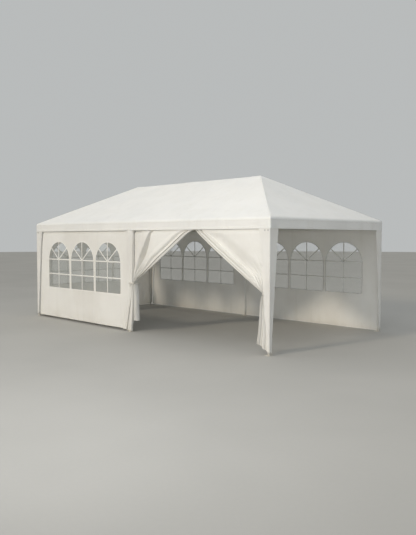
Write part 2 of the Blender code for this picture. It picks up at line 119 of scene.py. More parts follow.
class Wire:  # a shader socket that can be used in sums
    def __init__(self, tree, socket=None):
        self.tree = tree
        self.socket = socket

    def node(self, kind, settings=None, values=None, output=0):
        made = self.tree.nodes.new("ShaderNode" + kind)
        for name, value in (settings or {}).items():
            setattr(made, name, value)
        for name, value in (values or {}).items():
            if isinstance(value, Wire):
                self.tree.links.new(value.socket, made.inputs[name])
            else:
                made.inputs[name].default_value = value
        return Wire(self.tree, made.outputs[output])

    def maths(self, operation, *values):
        return self.node("Math", {"operation": operation}, dict(enumerate(values)))

    def __add__(self, other):
        return self.maths("ADD", self, other)

    def __sub__(self, other):
        return self.maths("SUBTRACT", self, other)

    def __rsub__(self, other):
        return self.maths("SUBTRACT", other, self)

    def __mul__(self, other):
        return self.maths("MULTIPLY", self, other)

    def __pow__(self, other):
        return self.maths("POWER", self, other)

    __radd__ = __add__
    __rmul__ = __mul__

    def sine(self):
        return self.maths("SINE", self)

    def clipped(self):
        return self.node("Math", {"operation": "ADD", "use_clamp": True}, {0: self, 1: 0.0})

    def between(self, low, high):  # 0 below low, 1 above high
        values = {"Value": self, "From Min": low, "From Max": high}
        return self.node("MapRange", {"interpolation_type": "SMOOTHSTEP"}, values)

    def mixed(self, first, second):  # colours: first where this is 0, second where it is 1
        values = {0: self.clipped(), 6: first, 7: second}
        return self.node("Mix", {"data_type": "RGBA"}, values, output=2)

    def stretched(self, scale):
        values = {0: self, 1: scale}
        return self.node("VectorMath", {"operation": "MULTIPLY"}, values)

    def parts(self):
        return [self.node("SeparateXYZ", {}, {0: self}, output=k) for k in range(3)]

    def noise(self, scale, detail=3.0, roughness=0.55):
        values = {"Vector": self, "Scale": scale, "Detail": detail, "Roughness": roughness}
        return self.node("TexNoise", {}, values)

    def bumped(self, distance, strength=1.0, under=None):
        values = {"Height": self, "Distance": distance, "Strength": strength}
        if under is not None:
            values["Normal"] = under
        return self.node("Bump", {}, values)


def makeMaterial(name, look, paint):  # paint returns what varies over the surface
    material = bpy.data.materials.new(name)
    material.use_nodes = True
    tree = material.node_tree
    shader = tree.nodes["Principled BSDF"]
    for socket, value in look.get("shader", {}).items():
        shader.inputs[socket].default_value = value
    start = Wire(tree)
    place = start.node("TexCoord", output=3)
    cloth = start.node("UVMap", {"uv_map": "cloth"})
    for socket, wire in paint(look, place, cloth).items():
        tree.links.new(wire.socket, shader.inputs[socket])
    return material


def hexColour(code):  # a colour picker's code as the shader's linear colour
    levels = [int(code[k:k + 2], 16) / 255 for k in (0, 2, 4)]
    return tuple(v / 12.92 if v < 0.04045 else ((v + 0.055) / 1.055) ** 2.4 for v in levels) + (1.0,)


# materials

coatedSheet = {  # woven sheet with a coating, for the roof
    "colour": hexColour("f3f3f0"),
    "shade": hexColour("eeefed"),
    "grime": hexColour("b9b4a6"),
    "weave": 0.0028,  # from one tape to the next
    "weaveHeight": 0.00010,
    "creaseEvery": 0.61,  # the folds it was packed in
    "creaseHeight": 0.0007,
    "crumple": 0.0012,
    "scales": {"cloud": 1.1, "mottle": 34.0, "streak": 1.0, "folds": 2.3, "crumple": 5.5},  # of its noise
    "stretch": (9.0, 9.0, 0.8),  # of the streaks, which run down
    "bumps": {"crumple": 0.35, "folds": 0.8, "weave": 0.5},
    "streaks": 0.10,  # how much grime shows in the streaks, in the mottle and along the folds
    "mottle": 0.06,
    "foldGrime": 0.09,
    "dirtTop": 0.0,  # height that splashed dirt reaches, none at 0
    "splash": 0.36,
    "roughness": 0.46,
    "shader": {"Specular IOR Level": 0.38, "Sheen Weight": 0.08, "Sheen Roughness": 0.5,
               "Subsurface Weight": 0.45, "Subsurface Scale": 0.006,
               "Subsurface Radius": (1.0, 0.95, 0.85)},
}
wallSheet = dict(  # the same for the walls, which catch more dirt
    coatedSheet,
    colour=hexColour("f0efea"),
    shade=hexColour("e6e4df"),
    creaseEvery=0.47,
    crumple=0.0016,
    dirtTop=0.30,
    roughness=0.52,
)


def paintSheet(look, place, cloth):
    across, along, _ = cloth.parts()
    height = place.parts()[2]
    turns = 2 * math.pi / look["weave"]
    weave = (across * turns).sine() * (along * turns).sine()
    scales, bumps = look["scales"], look["bumps"]
    cloud = place.noise(scales["cloud"], 4.0)
    mottle = place.noise(scales["mottle"], 3.0)
    streak = place.stretched(look["stretch"]).noise(scales["streak"], 3.0)
    folds = None
    for way, shift in ((across, 0.13), (along, 0.29)):
        step = (way * (1 / look["creaseEvery"]) + shift).maths("FRACT")
        line = 1 - (step - 0.5).maths("ABSOLUTE").between(0.0, 0.012)
        folds = line if folds is None else folds.maths("MAXIMUM", line)
    folds = folds * place.noise(scales["folds"], 1.0).between(0.42, 0.6)
    crumple = 1 - (place.noise(scales["crumple"], 2.0, 0.45) - 0.5).maths("ABSOLUTE").between(0.0, 0.16)
    colour = cloud.between(0.35, 0.72).mixed(look["colour"], look["shade"])
    worn = streak.between(0.5, 0.8) * look["streaks"] + mottle.between(0.55, 0.8) * look["mottle"]
    colour = (worn + folds * look["foldGrime"]).mixed(colour, look["grime"])
    if look["dirtTop"]:
        splash = (1 - height * (1 / look["dirtTop"])).clipped() ** 2.2
        splash = splash * (streak * 0.9 + mottle * 0.5) * look["splash"]
        colour = splash.mixed(colour, look["grime"])
    rough = look["roughness"] + (mottle - 0.5) * 0.22 + folds * 0.10
    normal = crumple.bumped(look["crumple"], bumps["crumple"])
    normal = folds.bumped(look["creaseHeight"], bumps["folds"], normal)
    normal = weave.bumped(look["weaveHeight"], bumps["weave"], normal)
    return {"Base Color": colour, "Roughness": rough, "Normal": normal}


clearFilm = {
    "colour": hexColour("dfe6e4"),
    "haze": hexColour("f2f4f2"),
    "seeThrough": 0.10,
    "smudged": 0.19,
    "ripple": 0.0014,
    "scales": {"haze": 7.0, "wipe": 1.4, "dust": 160.0, "ripple": 6.5},
    "stretch": (3.0, 3.0, 14.0),  # of the wiped streaks, which run across
    "roughness": 0.07,
    "shader": {"IOR": 1.47, "Specular IOR Level": 0.62},
}


def paintFilm(look, place, cloth):
    scales = look["scales"]
    haze = place.noise(scales["haze"], 4.0).between(0.45, 0.75)
    wipe = place.stretched(look["stretch"]).noise(scales["wipe"], 3.0).between(0.52, 0.7)
    dust = place.noise(scales["dust"], 2.0).between(0.62, 0.75)
    colour = haze.mixed(look["colour"], look["haze"])
    smudge = haze * 0.4 + wipe * 0.25 + dust * 0.35
    alpha = look["seeThrough"] + smudge * (look["smudged"] - look["seeThrough"])
    rough = look["roughness"] + haze * 0.10 + wipe * 0.05 + dust * 0.2
    normal = place.noise(scales["ripple"], 2.0).bumped(look["ripple"], 0.6)
    return {"Base Color": colour, "Roughness": rough, "Alpha": alpha, "Normal": normal}


satinTape = {  # the window bars and the seams round the windows
    "colour": hexColour("f3f2ee"),
    "grime": hexColour("cfcbc0"),
    "rib": 0.0016,
    "ribHeight": 0.00008,
    "grain": 0.0004,
    "scales": {"mottle": 46.0, "smear": 3.6},
    "roughness": 0.40,
    "shader": {"Specular IOR Level": 0.45, "Subsurface Weight": 0.3, "Subsurface Scale": 0.004,
               "Subsurface Radius": (1.0, 0.95, 0.85)},
}


def paintTape(look, place, cloth):
    rib = (cloth.parts()[0] * (2 * math.pi / look["rib"])).sine()
    mottle = place.noise(look["scales"]["mottle"], 3.0)
    smear = place.noise(look["scales"]["smear"], 3.0).between(0.5, 0.8)
    colour = (smear * 0.25 + mottle.between(0.55, 0.8) * 0.15).mixed(look["colour"], look["grime"])
    rough = look["roughness"] + (mottle - 0.5) * 0.18
    normal = rib.bumped(look["ribHeight"], 0.4, mottle.bumped(look["grain"], 0.3))
    return {"Base Color": colour, "Roughness": rough, "Normal": normal}


powderCoat = {
    "colour": hexColour("eeeeea"),
    "chip": hexColour("8d8f90"),
    "grime": hexColour("9a927f"),
    "peel": 0.00012,
    "scratches": 0.35,
    "chips": 0.75,
    "scales": {"peel": 520.0, "mottle": 21.0, "scratch": 3.0, "chips": 85.0},
    "stretch": (30.0, 30.0, 3.0),  # of the scratches, which run down
    "coat": 0.35,
    "roughness": 0.36,
    "dirtTop": 0.16,
    "shader": {"Specular IOR Level": 0.5, "Coat Roughness": 0.2},
}


def paintPowder(look, place, cloth):
    height = place.parts()[2]
    scales = look["scales"]
    peel = place.noise(scales["peel"], 2.0)
    mottle = place.noise(scales["mottle"], 4.0)
    scratch = place.stretched(look["stretch"]).noise(scales["scratch"], 5.0, 0.7).between(0.685, 0.72)
    chips = place.noise(scales["chips"], 3.0, 0.6).between(0.715, 0.735)
    splash = ((1 - height * (1 / look["dirtTop"])).clipped() ** 1.6) * (mottle + 0.25)
    colour = (mottle.between(0.45, 0.75) * 0.10).mixed(look["colour"], look["grime"])
    colour = (scratch * look["scratches"] + chips * look["chips"]).mixed(colour, look["chip"])
    colour = (splash * 0.75).mixed(colour, look["grime"])
    rough = look["roughness"] + (mottle - 0.5) * 0.16 + scratch * 0.12 + splash * 0.2
    normal = (peel - chips * 0.8).bumped(look["peel"], 0.7)
    coat = look["coat"] - 0.3 * (scratch + splash).clipped()
    return {"Base Color": colour, "Roughness": rough, "Normal": normal, "Coat Weight": coat}


zinc = {
    "colour": hexColour("b9bcbd"),
    "dull": hexColour("86898a"),
    "spangle": 240.0,
    "grain": 0.0002,
    "roughness": 0.38,
    "shader": {"Metallic": 0.9},
}


def paintZinc(look, place, cloth):
    spangle = place.noise(look["spangle"], 3.0)
    colour = spangle.between(0.4, 0.7).mixed(look["colour"], look["dull"])
    rough = look["roughness"] + (spangle - 0.5) * 0.3
    return {"Base Color": colour, "Roughness": rough, "Normal": spangle.bumped(look["grain"], 0.4)}


webbing = {  # the bands that tie the curtains, and their knots
    "colour": hexColour("ecebe6"),
    # painted shade: the darker colour that fills the hollows of the weave
    "valley": hexColour("b4b0a6"),
    "rib": 0.0022,
    "fuzz": 300.0,
    "grain": 0.0004,
    "roughness": 0.78,
    "shader": {"Specular IOR Level": 0.25, "Sheen Weight": 0.2},
}


def paintWebbing(look, place, cloth):
    across, along, _ = cloth.parts()
    turns = 2 * math.pi / look["rib"]
    weave = (across * turns).sine() * (along * (turns * 0.7)).sine()
    fuzz = place.noise(look["fuzz"], 3.0)
    # painted shade in the weave's hollows: where the weave dips the colour goes to the darker valley colour;
    # the fuzz adds random tone
    colour = (0.5 - weave * 0.32 + (fuzz - 0.5) * 0.4).mixed(look["colour"], look["valley"])
    rough = look["roughness"] + (fuzz - 0.5) * 0.2
    return {"Base Color": colour, "Roughness": rough, "Normal": (weave + fuzz).bumped(look["grain"], 0.7)}


zipTeeth = {
    "colour": hexColour("a39e92"),
    "worn": hexColour("8a857a"),
    "scales": {"grain": 420.0, "rub": 60.0},
    "grain": 0.00015,
    "roughness": 0.42,
    "shader": {"Specular IOR Level": 0.5},
}
elasticCord = dict(zipTeeth, colour=hexColour("5c5a54"), worn=hexColour("45443f"), roughness=0.6)


def paintPlastic(look, place, cloth):
    grain = place.noise(look["scales"]["grain"], 2.0)
    rub = place.noise(look["scales"]["rub"], 4.0).between(0.5, 0.72)
    colour = (rub * 0.6).mixed(look["colour"], look["worn"])
    rough = look["roughness"] + rub * 0.2 + (grain - 0.5) * 0.1
    return {"Base Color": colour, "Roughness": rough, "Normal": grain.bumped(look["grain"], 0.5)}


thread = {  # rows of stitches: dashes with needle holes between them
    "colour": hexColour("f2f1ec"),
    "hole": hexColour("a5a197"),
    "stitch": 0.0055,
    "twist": (3800.0, 2200.0),  # turns of its strands across and along, in radians a metre
    "shader": {"Specular IOR Level": 0.3},
}


def paintThread(look, place, cloth):
    across, along, _ = cloth.parts()
    dash = (along * (2 * math.pi / look["stitch"])).sine().between(-0.75, -0.25)
    twist = (along * look["twist"][1] + across * look["twist"][0]).sine()
    colour = dash.mixed(look["hole"], look["colour"])
    rough = 0.62 + twist * 0.08
    return {"Base Color": colour, "Roughness": rough, "Normal": (dash + twist * 0.2).bumped(0.0003)}


def paintFloor(look, place, cloth):
    tone = place.noise(0.35, 3.0)
    grain = place.noise(28.0, 4.0)
    worn = look["colour"][:3]
    deep = tuple(v * 0.90 for v in worn) + (1.0,)
    colour = (tone.between(0.3, 0.7) * 0.7 + grain * 0.3).mixed(look["colour"], deep)
    return {"Base Color": colour, "Roughness": 0.84 + grain * 0.1, "Normal": grain.bumped(0.0006, 0.3)}


finishes = {name: makeMaterial(name, look, paint) for name, look, paint in (
    ("roofSheet", coatedSheet, paintSheet),
    ("wallSheet", wallSheet, paintSheet),
    ("clearFilm", clearFilm, paintFilm),
    ("satinTape", satinTape, paintTape),
    ("powderCoat", powderCoat, paintPowder),
    ("zinc", zinc, paintZinc),
    ("webbing", webbing, paintWebbing),
    ("elasticCord", elasticCord, paintPlastic),
    ("zipTeeth", zipTeeth, paintPlastic),
    ("thread", thread, paintThread),
    ("paleFloor", {"colour": studio["floorColour"]}, paintFloor),
)}
print("materials ready:", len(finishes))


# shared shapes

def smooth(value):  # 0 to 1 with soft ends
    value = np.clip(value, 0.0, 1.0)
    return value * value * (3 - 2 * value)


def bell(value, middle, width):
    return np.exp(-(((value - middle) / width) ** 2))


def makeWaves(seed, count, longest, shortest):  # plane waves for a soft uneven surface
    dice = random.Random(seed)
    made = []
    for k in range(count):
        length = longest * (shortest / longest) ** (k / max(count - 1, 1))
        heading = dice.uniform(0, 2 * math.pi)
        turn = 2 * math.pi / length
        made.append((turn * math.cos(heading), turn * math.sin(heading), dice.uniform(0, 7), length))
    return made


def uneven(waves, a, b):  # about -1 to 1
    total, weights = 0.0, 0.0
    for stepA, stepB, start, length in waves:
        total = total + np.sin(a * stepA + b * stepB + start) * length
        weights += length
    return total / weights * 2.0


def meshPiece(name, points, faces, corners, finish, slot, stands=(), sharp=None):
    mesh = bpy.data.meshes.new(name)
    mesh.from_pydata(points, [], faces)
    layer = mesh.uv_layers.new(name="cloth")
    layer.data.foreach_set("uv", np.asarray(corners, np.float32).ravel())
    mesh.polygons.foreach_set("use_smooth", [True] * len(mesh.polygons))
    if sharp:
        mesh.set_sharp_from_angle(angle=math.radians(sharp))
    mesh.materials.append(finishes[finish])
    piece = bpy.data.objects.new(name, mesh)
    bpy.context.scene.collection.objects.link(piece)
    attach(piece, "root")
    if stands:
        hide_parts(*stands)
    return piece


def gridPart(points, flat, keep=None, closed=False):  # rows of points to vertices, faces, UVs
    rows, columns = points.shape[:2]
    across = columns if closed else columns - 1
    faces, corners = [], []
    for r in range(rows - 1):
        for c in range(across):
            if keep is not None and not keep[r][c]:
                continue
            n = (c + 1) % columns
            faces.append((r * columns + c, r * columns + n, (r + 1) * columns + n, (r + 1) * columns + c))
            if n == 0:  # the last strip of a closed ring keeps the step of the one before
                step = flat[r, c] - flat[r, c - 1]
                corners += [flat[r, c], flat[r, c] + step, flat[r + 1, c] + step, flat[r + 1, c]]
            else:
                corners += [flat[r, c], flat[r, n], flat[r + 1, n], flat[r + 1, c]]
    return points.reshape(-1, 3).tolist(), faces, corners


def joinParts(parts):
    points, faces, corners = [], [], []
    for partPoints, partFaces, partCorners in parts:
        start = len(points)
        points += list(partPoints)
        faces += [tuple(v + start for v in face) for face in partFaces]
        corners += list(partCorners)
    return points, faces, corners


def thicken(piece, thickness, offset=-1.0):
    solid = piece.modifiers.new("thickness", "SOLIDIFY")
    solid.thickness = thickness
    solid.offset = offset


def rework(piece, change):  # changes the mesh of a piece in place
    mesh = bmesh.new()
    mesh.from_mesh(piece.data)
    change(mesh)
    mesh.to_mesh(piece.data)
    mesh.free()


def dropLoose(mesh):  # vertices that no face uses
    bmesh.ops.delete(mesh, geom=[v for v in mesh.verts if not v.link_faces], context="VERTS")


def turnOut(mesh):  # every face outwards
    bmesh.ops.recalc_face_normals(mesh, faces=mesh.faces)


def mergeDoubles(mesh):
    bmesh.ops.remove_doubles(mesh, verts=mesh.verts, dist=0.0002)


def onSide(side, along, out, up):  # along runs to the right as seen from outside
    along, out, up = np.broadcast_arrays(np.asarray(along, float), out, up)
    x, y = {
        "front": (along, -out),
        "right": (out, along),
        "back": (-along, out),
        "left": (-out, -along),
    }[side]
    return np.stack([x, y, up], axis=-1)


def outOf(side):  # the way that a side faces
    return onSide(side, 0.0, 1.0, 0.0)


def together(*columns):  # arrays of any shapes that fit each other, as the last axis of one
    return np.stack(np.broadcast_arrays(*columns), axis=-1)


def lengthAlong(path):  # from its start to each of its points
    return np.concatenate([[0.0], np.cumsum(np.linalg.norm(np.diff(path, axis=0), axis=1))])


def unit(rows):
    return rows / np.linalg.norm(rows, axis=1)[:, None]


def ribbonPart(place, path, halfWidth, profile, closed=False):
    # A strip that follows path, (along, up) points on a side, with the given heights across it.
    path = np.asarray(path, float)
    if closed:
        ahead, behind = np.roll(path, -1, 0), np.roll(path, 1, 0)
    else:
        ahead = np.vstack([path[1:], 2 * path[-1] - path[-2]])
        behind = np.vstack([2 * path[0] - path[1], path[:-1]])
    way = unit(ahead - behind)
    normal = np.stack([-way[:, 1], way[:, 0]], axis=1)
    steps = np.linspace(-1.0, 1.0, len(profile)) * halfWidth
    spots = path[:, None, :] - normal[:, None, :] * steps[None, :, None]
    points = place(spots[..., 0], spots[..., 1], np.asarray(profile)[None, :])
    flat = together(steps[None, :], lengthAlong(path)[:, None])
    if not closed:
        return gridPart(points, flat)
    points, flat = points.transpose(1, 0, 2)[::-1], flat.transpose(1, 0, 2)[::-1]
    return gridPart(points, flat, closed=True)


def beadPart(path, out, width, profile, pitch=None):
    # A thin bead along path that faces out, with the given heights across it, cut into teeth if
    # it has a pitch.
    path, out = np.asarray(path, float), np.asarray(out, float)
    out = np.broadcast_to(out, path.shape)
    if pitch:
        length = lengthAlong(path)
        fine = np.arange(0.0, length[-1], pitch / 4)
        path, out = ([np.interp(fine, length, values[:, k]) for k in range(3)] for values in (path, out))
        path, out = np.stack(path, axis=1), np.stack(out, axis=1)
    way = np.gradient(path, axis=0)
    side = unit(np.cross(unit(way), out))
    lift = np.broadcast_to(np.asarray(profile)[None, :], (len(path), len(profile))).copy()
    if pitch:
        for gap in (0, 1):  # two rows in four are the gap between two teeth
            lift[gap::4] *= 0.45
    steps = np.linspace(-0.5, 0.5, len(profile)) * width
    points = path[:, None] + side[:, None] * steps[None, :, None] + out[:, None] * lift[..., None]
    return gridPart(points, together(steps[None, :], lengthAlong(path)[:, None]))


stitching = {"width": 0.0019, "profile": (0.0002, 0.0008, 0.0002)}


def stitchPart(path, out):
    return beadPart(path, out, stitching["width"], stitching["profile"])


# places read from the frame

def nodeBox(node):
    low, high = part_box(node)
    return np.array(low), np.array(high)


eaveLow, eaveHigh = nodeBox("eave_beam_front_right")
endLow, endHigh = nodeBox("eave_beam_right_end")
ridgeLow, ridgeHigh = nodeBox("ridge_beam_right")
roofLow, roofHigh = nodeBox("roof_cover")
wallLow, _ = nodeBox("wall_front_left")
legX = (endLow[0] + endHigh[0]) / 2
legY = -(eaveLow[1] + eaveHigh[1]) / 2
beamZ = (eaveLow[2] + eaveHigh[2]) / 2
ridgeZ = (ridgeLow[2] + ridgeHigh[2]) / 2
ridgeX = ridgeLow[0] + ridgeHigh[0]
setback = ridgeLow[0]  # from a hub's middle to the end of a tube in its socket
wallY = -wallLow[1]  # outer faces of the walls
wallX = legX + wallY - legY
bayMiddle = legX / 2


# frame of steel tube

tubing = {
    "radius": 0.019,
    "sides": 28,
    "wall": 0.0012,
    "sharp": 40,  # degrees
    "socketRadius": 0.0224,
    "hubRadius": 0.0229,
    "socketReach": 0.15,
    "socketDepth": 0.088,
    "bore": 0.0194,
    "weldRadius": 0.0013,
    "weldAlong": 0.027,  # from the hub's middle
    "legWeldRadius": 0.0022,
    "buttonRadius": 0.0042,
    "buttonHeight": 0.0021,
    "buttonIn": 0.032,  # from the socket's mouth
    "plate": (0.090, 0.004, 0.012),  # width, thickness and corner radius
    "plateToe": 0.030,
    "plateEdge": 0.0006,
    "pegHole": 0.006,
    "pegEdge": 0.014,
    "footRise": 0.0006,  # of the tube over the plate's lower face
}


def axesRound(way):  # a way and two at right angles to it
    way = Vector(way).normalized()
    side = way.orthogonal().normalized()
    return way, side, way.cross(side)


def turnedPart(start, way, profile, sides):  # a lathe shape round a line; profile is (along, radius)
    start = Vector(start)
    way, side, other = axesRound(way)
    angles = [2 * math.pi * k / sides for k in range(sides)]
    points, flat, length = [], [], 0.0
    last = profile[0]
    for along, radius in profile:
        length += math.hypot(along - last[0], radius - last[1])
        last = (along, radius)
        ring = [start + way * along + (side * math.cos(a) + other * math.sin(a)) * radius for a in angles]
        points.append([tuple(p) for p in ring])
        flat.append([(a * max(radius, 0.004), length) for a in angles])
    points, faces, corners = gridPart(np.array(points), np.array(flat), closed=True)
    faces.append(tuple(reversed(range(sides))))
    faces.append(tuple((len(profile) - 1) * sides + k for k in range(sides)))
    corners += [(0.0, 0.0)] * (2 * sides)
    return points, faces, corners


def weldPart(centre, way, ringRadius, beadRadius, sides=26):  # an uneven weld bead
    centre = Vector(centre)
    way, side, other = axesRound(way)
    rings, flat = [], []
    for k in range(sides * 2):
        angle = math.pi * k / sides
        bead = beadRadius * (1.0 + 0.22 * math.sin(angle * 19))
        out = side * math.cos(angle) + other * math.sin(angle)
        rings.append([tuple(centre + out * (ringRadius + bead * math.cos(t)) + way * bead * math.sin(t))
                      for t in [2 * math.pi * j / 8 for j in range(8)]])
        flat.append([(angle * ringRadius, j * 0.001) for j in range(8)])
    rings.append(rings[0])
    flat.append([(2 * math.pi * ringRadius, j * 0.001) for j in range(8)])
    points, faces, corners = gridPart(np.array(rings), np.array(flat), closed=True)
    turned = [c for k in range(0, len(corners), 4) for c in corners[k:k + 4][::-1]]
    return points, [tuple(reversed(f)) for f in faces], turned


def domePart(centre, way, radius, height):  # a small dome, for spring buttons and knots
    steps = [(height * math.sin(a), radius * math.cos(a)) for a in np.linspace(0.0, 1.45, 6)]
    return turnedPart(centre, way, [(-0.003, radius)] + steps, 14)


def tubeProfile(length):
    r, wall = tubing["radius"], tubing["wall"]
    inner = r - wall
    middle = [(length * k / 8, r) for k in range(1, 8)]
    return [(0.03, inner * 0.5), (0.0, inner), (0.0, r - wall * 0.5), (wall, r), *middle,
            (length - wall, r), (length, r - wall * 0.5), (length, inner), (length - 0.03, inner * 0.5)]


def addSteel(name, parts, finish="powderCoat", slot="frame_paint", stands=(), sharp=tubing["sharp"]):
    rework(meshPiece(name, *joinParts(parts), finish, slot, stands, sharp), turnOut)


def addTube(node, start, end):
    start, end = Vector(start), Vector(end)
    way = (end - start).normalized()
    first, last = start + way * setback, end - way * setback
    part = turnedPart(first, way, tubeProfile((last - first).length), tubing["sides"])
    addSteel("tube_" + node, [part], stands=(node,))


def platePart(middle, end, side):  # a foot plate with rounded corners and a peg hole
    width, thickness, corner = tubing["plate"]
    far = width - tubing["plateToe"]
    x0, x1 = sorted((end * tubing["plateToe"], -end * far)) if end else (-width / 2, width / 2)
    y0, y1 = sorted((side * tubing["plateToe"], -side * far))
    hole = Vector((middle[0] - end * (far - tubing["pegEdge"]), middle[1] - side * (far - tubing["pegEdge"])))
    turns = ((x1, y1, 0), (x0, y1, 90), (x0, y0, 180), (x1, y0, 270))
    rim = []
    for x, y, first in turns:
        cx = x - math.copysign(corner, x - (x0 + x1) / 2)
        cy = y - math.copysign(corner, y - (y0 + y1) / 2)
        for k in range(7):
            a = math.radians(first + 15 * k)
            rim.append((middle[0] + cx + corner * math.cos(a), middle[1] + cy + corner * math.sin(a)))
    bore = []
    for x, y in rim:  # the hole's ring faces the rim point by point
        a = math.atan2(y - hole.y, x - hole.x)
        bore.append((hole.x + tubing["pegHole"] * math.cos(a), hole.y + tubing["pegHole"] * math.sin(a)))
    soft = tubing["plateEdge"]
    centre = np.mean(rim, axis=0)
    inset = [tuple(np.array(p) + (centre - np.array(p)) * (soft / (width / 2))) for p in rim]
    levels = [(bore, 0.0), (rim, 0.0), (rim, thickness - soft), (inset, thickness), (bore, thickness),
              (bore, 0.0)]
    rings = np.array([[(x, y, z) for x, y in ring] for ring, z in levels])
    flat = rings[..., :2] + rings[..., 2:3]
    return gridPart(rings, flat, closed=True)


def addLeg(node, hub, end, side):
    x, y, top = hub
    rise, upright = tubing["footRise"], (0, 0, 1)
    profile = tubeProfile(top - setback - rise)
    parts = [turnedPart((x, y, rise), upright, profile, tubing["sides"]), platePart(hub, end, side),
             weldPart((x, y, tubing["plate"][1] + rise), upright, tubing["radius"], tubing["legWeldRadius"])]
    addSteel("tube_" + node, parts, stands=(node,))


def addConnector(node, hub, neighbours):
    hub = Vector(hub)
    reach, radius, bore = tubing["socketReach"], tubing["socketRadius"], tubing["bore"]
    bottom = reach - tubing["socketDepth"]
    profile = [(0.0, radius * 0.5), (0.0, radius), (0.04, radius), (0.10, radius), (reach - 0.0016, radius),
               (reach - 0.0004, radius - 0.0006), (reach, radius - 0.0014), (reach - 0.0003, bore + 0.0004),
               (reach - 0.0015, bore), (bottom, bore), (bottom, bore * 0.3)]
    ball = [(tubing["hubRadius"] * -math.cos(a), max(tubing["hubRadius"] * math.sin(a), 0.0004))
            for a in np.linspace(0.0, math.pi, 15)]
    parts = [turnedPart(hub, (0, 0, 1), ball, tubing["sides"])]
    buttons = []
    for neighbour in neighbours:
        way = (Vector(neighbour) - hub).normalized()
        parts.append(turnedPart(hub, way, profile, tubing["sides"]))
        parts.append(weldPart(hub + way * tubing["weldAlong"], way, radius, tubing["weldRadius"]))
        inward = Vector((-hub.x * 0.3, -hub.y, -0.6)).normalized()  # its button faces the tent's middle
        inward = (inward - way * inward.dot(way)).normalized()
        spot = hub + way * (reach - tubing["buttonIn"]) + inward * radius
        buttons.append(domePart(spot, inward, tubing["buttonRadius"], tubing["buttonHeight"]))
    addSteel("socket_" + node, parts, stands=(node,))
    addSteel("buttons_" + node, buttons, "zinc", None, sharp=60)


def cornerHub(end, side):
    return (end * legX, side * legY, beamZ)


def buildFrame():
    ridgeMiddle = (0.0, 0.0, ridgeZ)
    ends = {"left": -1, "right": 1}
    for sideName, side in (("front", -1), ("back", 1)):
        middle = (0.0, side * legY, beamZ)
        addLeg(f"leg_{sideName}_middle", middle, 0, side)
        addTube(f"rafter_{sideName}_middle", middle, ridgeMiddle)
        addConnector(f"connector_{sideName}_middle", middle,
                     [(0.0, side * legY, 0.0), cornerHub(-1, side), cornerHub(1, side), ridgeMiddle])
        for endName, end in ends.items():
            corner = cornerHub(end, side)
            ridgeEnd = (end * ridgeX, 0.0, ridgeZ)
            addLeg(f"leg_{sideName}_{endName}", corner, end, side)
            addTube(f"eave_beam_{sideName}_{endName}", corner, middle)
            addTube(f"hip_rafter_{sideName}_{endName}", corner, ridgeEnd)
            addConnector(f"connector_{sideName}_{endName}", corner,
                         [(corner[0], corner[1], 0.0), middle, cornerHub(end, -side), ridgeEnd])
    for endName, end in ends.items():
        ridgeEnd = (end * ridgeX, 0.0, ridgeZ)
        addTube(f"eave_beam_{endName}_end", cornerHub(end, -1), cornerHub(end, 1))
        addTube(f"ridge_beam_{endName}", ridgeEnd, ridgeMiddle)
        addConnector(f"connector_ridge_{endName}", ridgeEnd,
                     [ridgeMiddle, cornerHub(end, -1), cornerHub(end, 1)])
    addConnector("connector_ridge_middle", ridgeMiddle,
                 [(-ridgeX, 0.0, ridgeZ), (ridgeX, 0.0, ridgeZ), (0.0, -legY, beamZ), (0.0, legY, beamZ)])


buildFrame()
print("frame of tubes, sockets and legs built")


# roof cover

roofCover = {
    "eaveHeight": 1.845,
    "ridgeHalf": 1.60,
    "eaveRounding": 0.046,
    "cornerRound": 0.030,  # in plan, on the valance
    "hipRound": 0.020,  # in plan, on the slopes
    "ridgeRound": 0.0065,
    "thickness": 0.0014,
    "sag": 0.014,
    "hubRise": 0.0035,  # how far it dips between the sockets it rides over
    "hemWidth": 0.026,
    "hemStep": 0.0009,
    "valanceWave": 0.0035,
    "crease": 0.0030,
    "creases": ((0.30, 0.085, 1.0), (1.15, 0.060, 0.5)),  # foot's distance from the middle, width, share
    "sideColumns": 168,
    "endColumns": 88,
    "cornerColumns": 8,
    "slopeRows": 46,
    "wave": 0.0010,
    "ripple": 0.0006,
    "flat": (6.68, 3.66),  # laid flat, over the ridge from hem to hem both ways
    "cutArea": 22.9,
}
roofWaves = makeWaves(11, 7, 1.4, 0.28)
valanceWaves = makeWaves(12, 6, 0.9, 0.17)
ripples = makeWaves(13, 6, 0.5, 0.10)


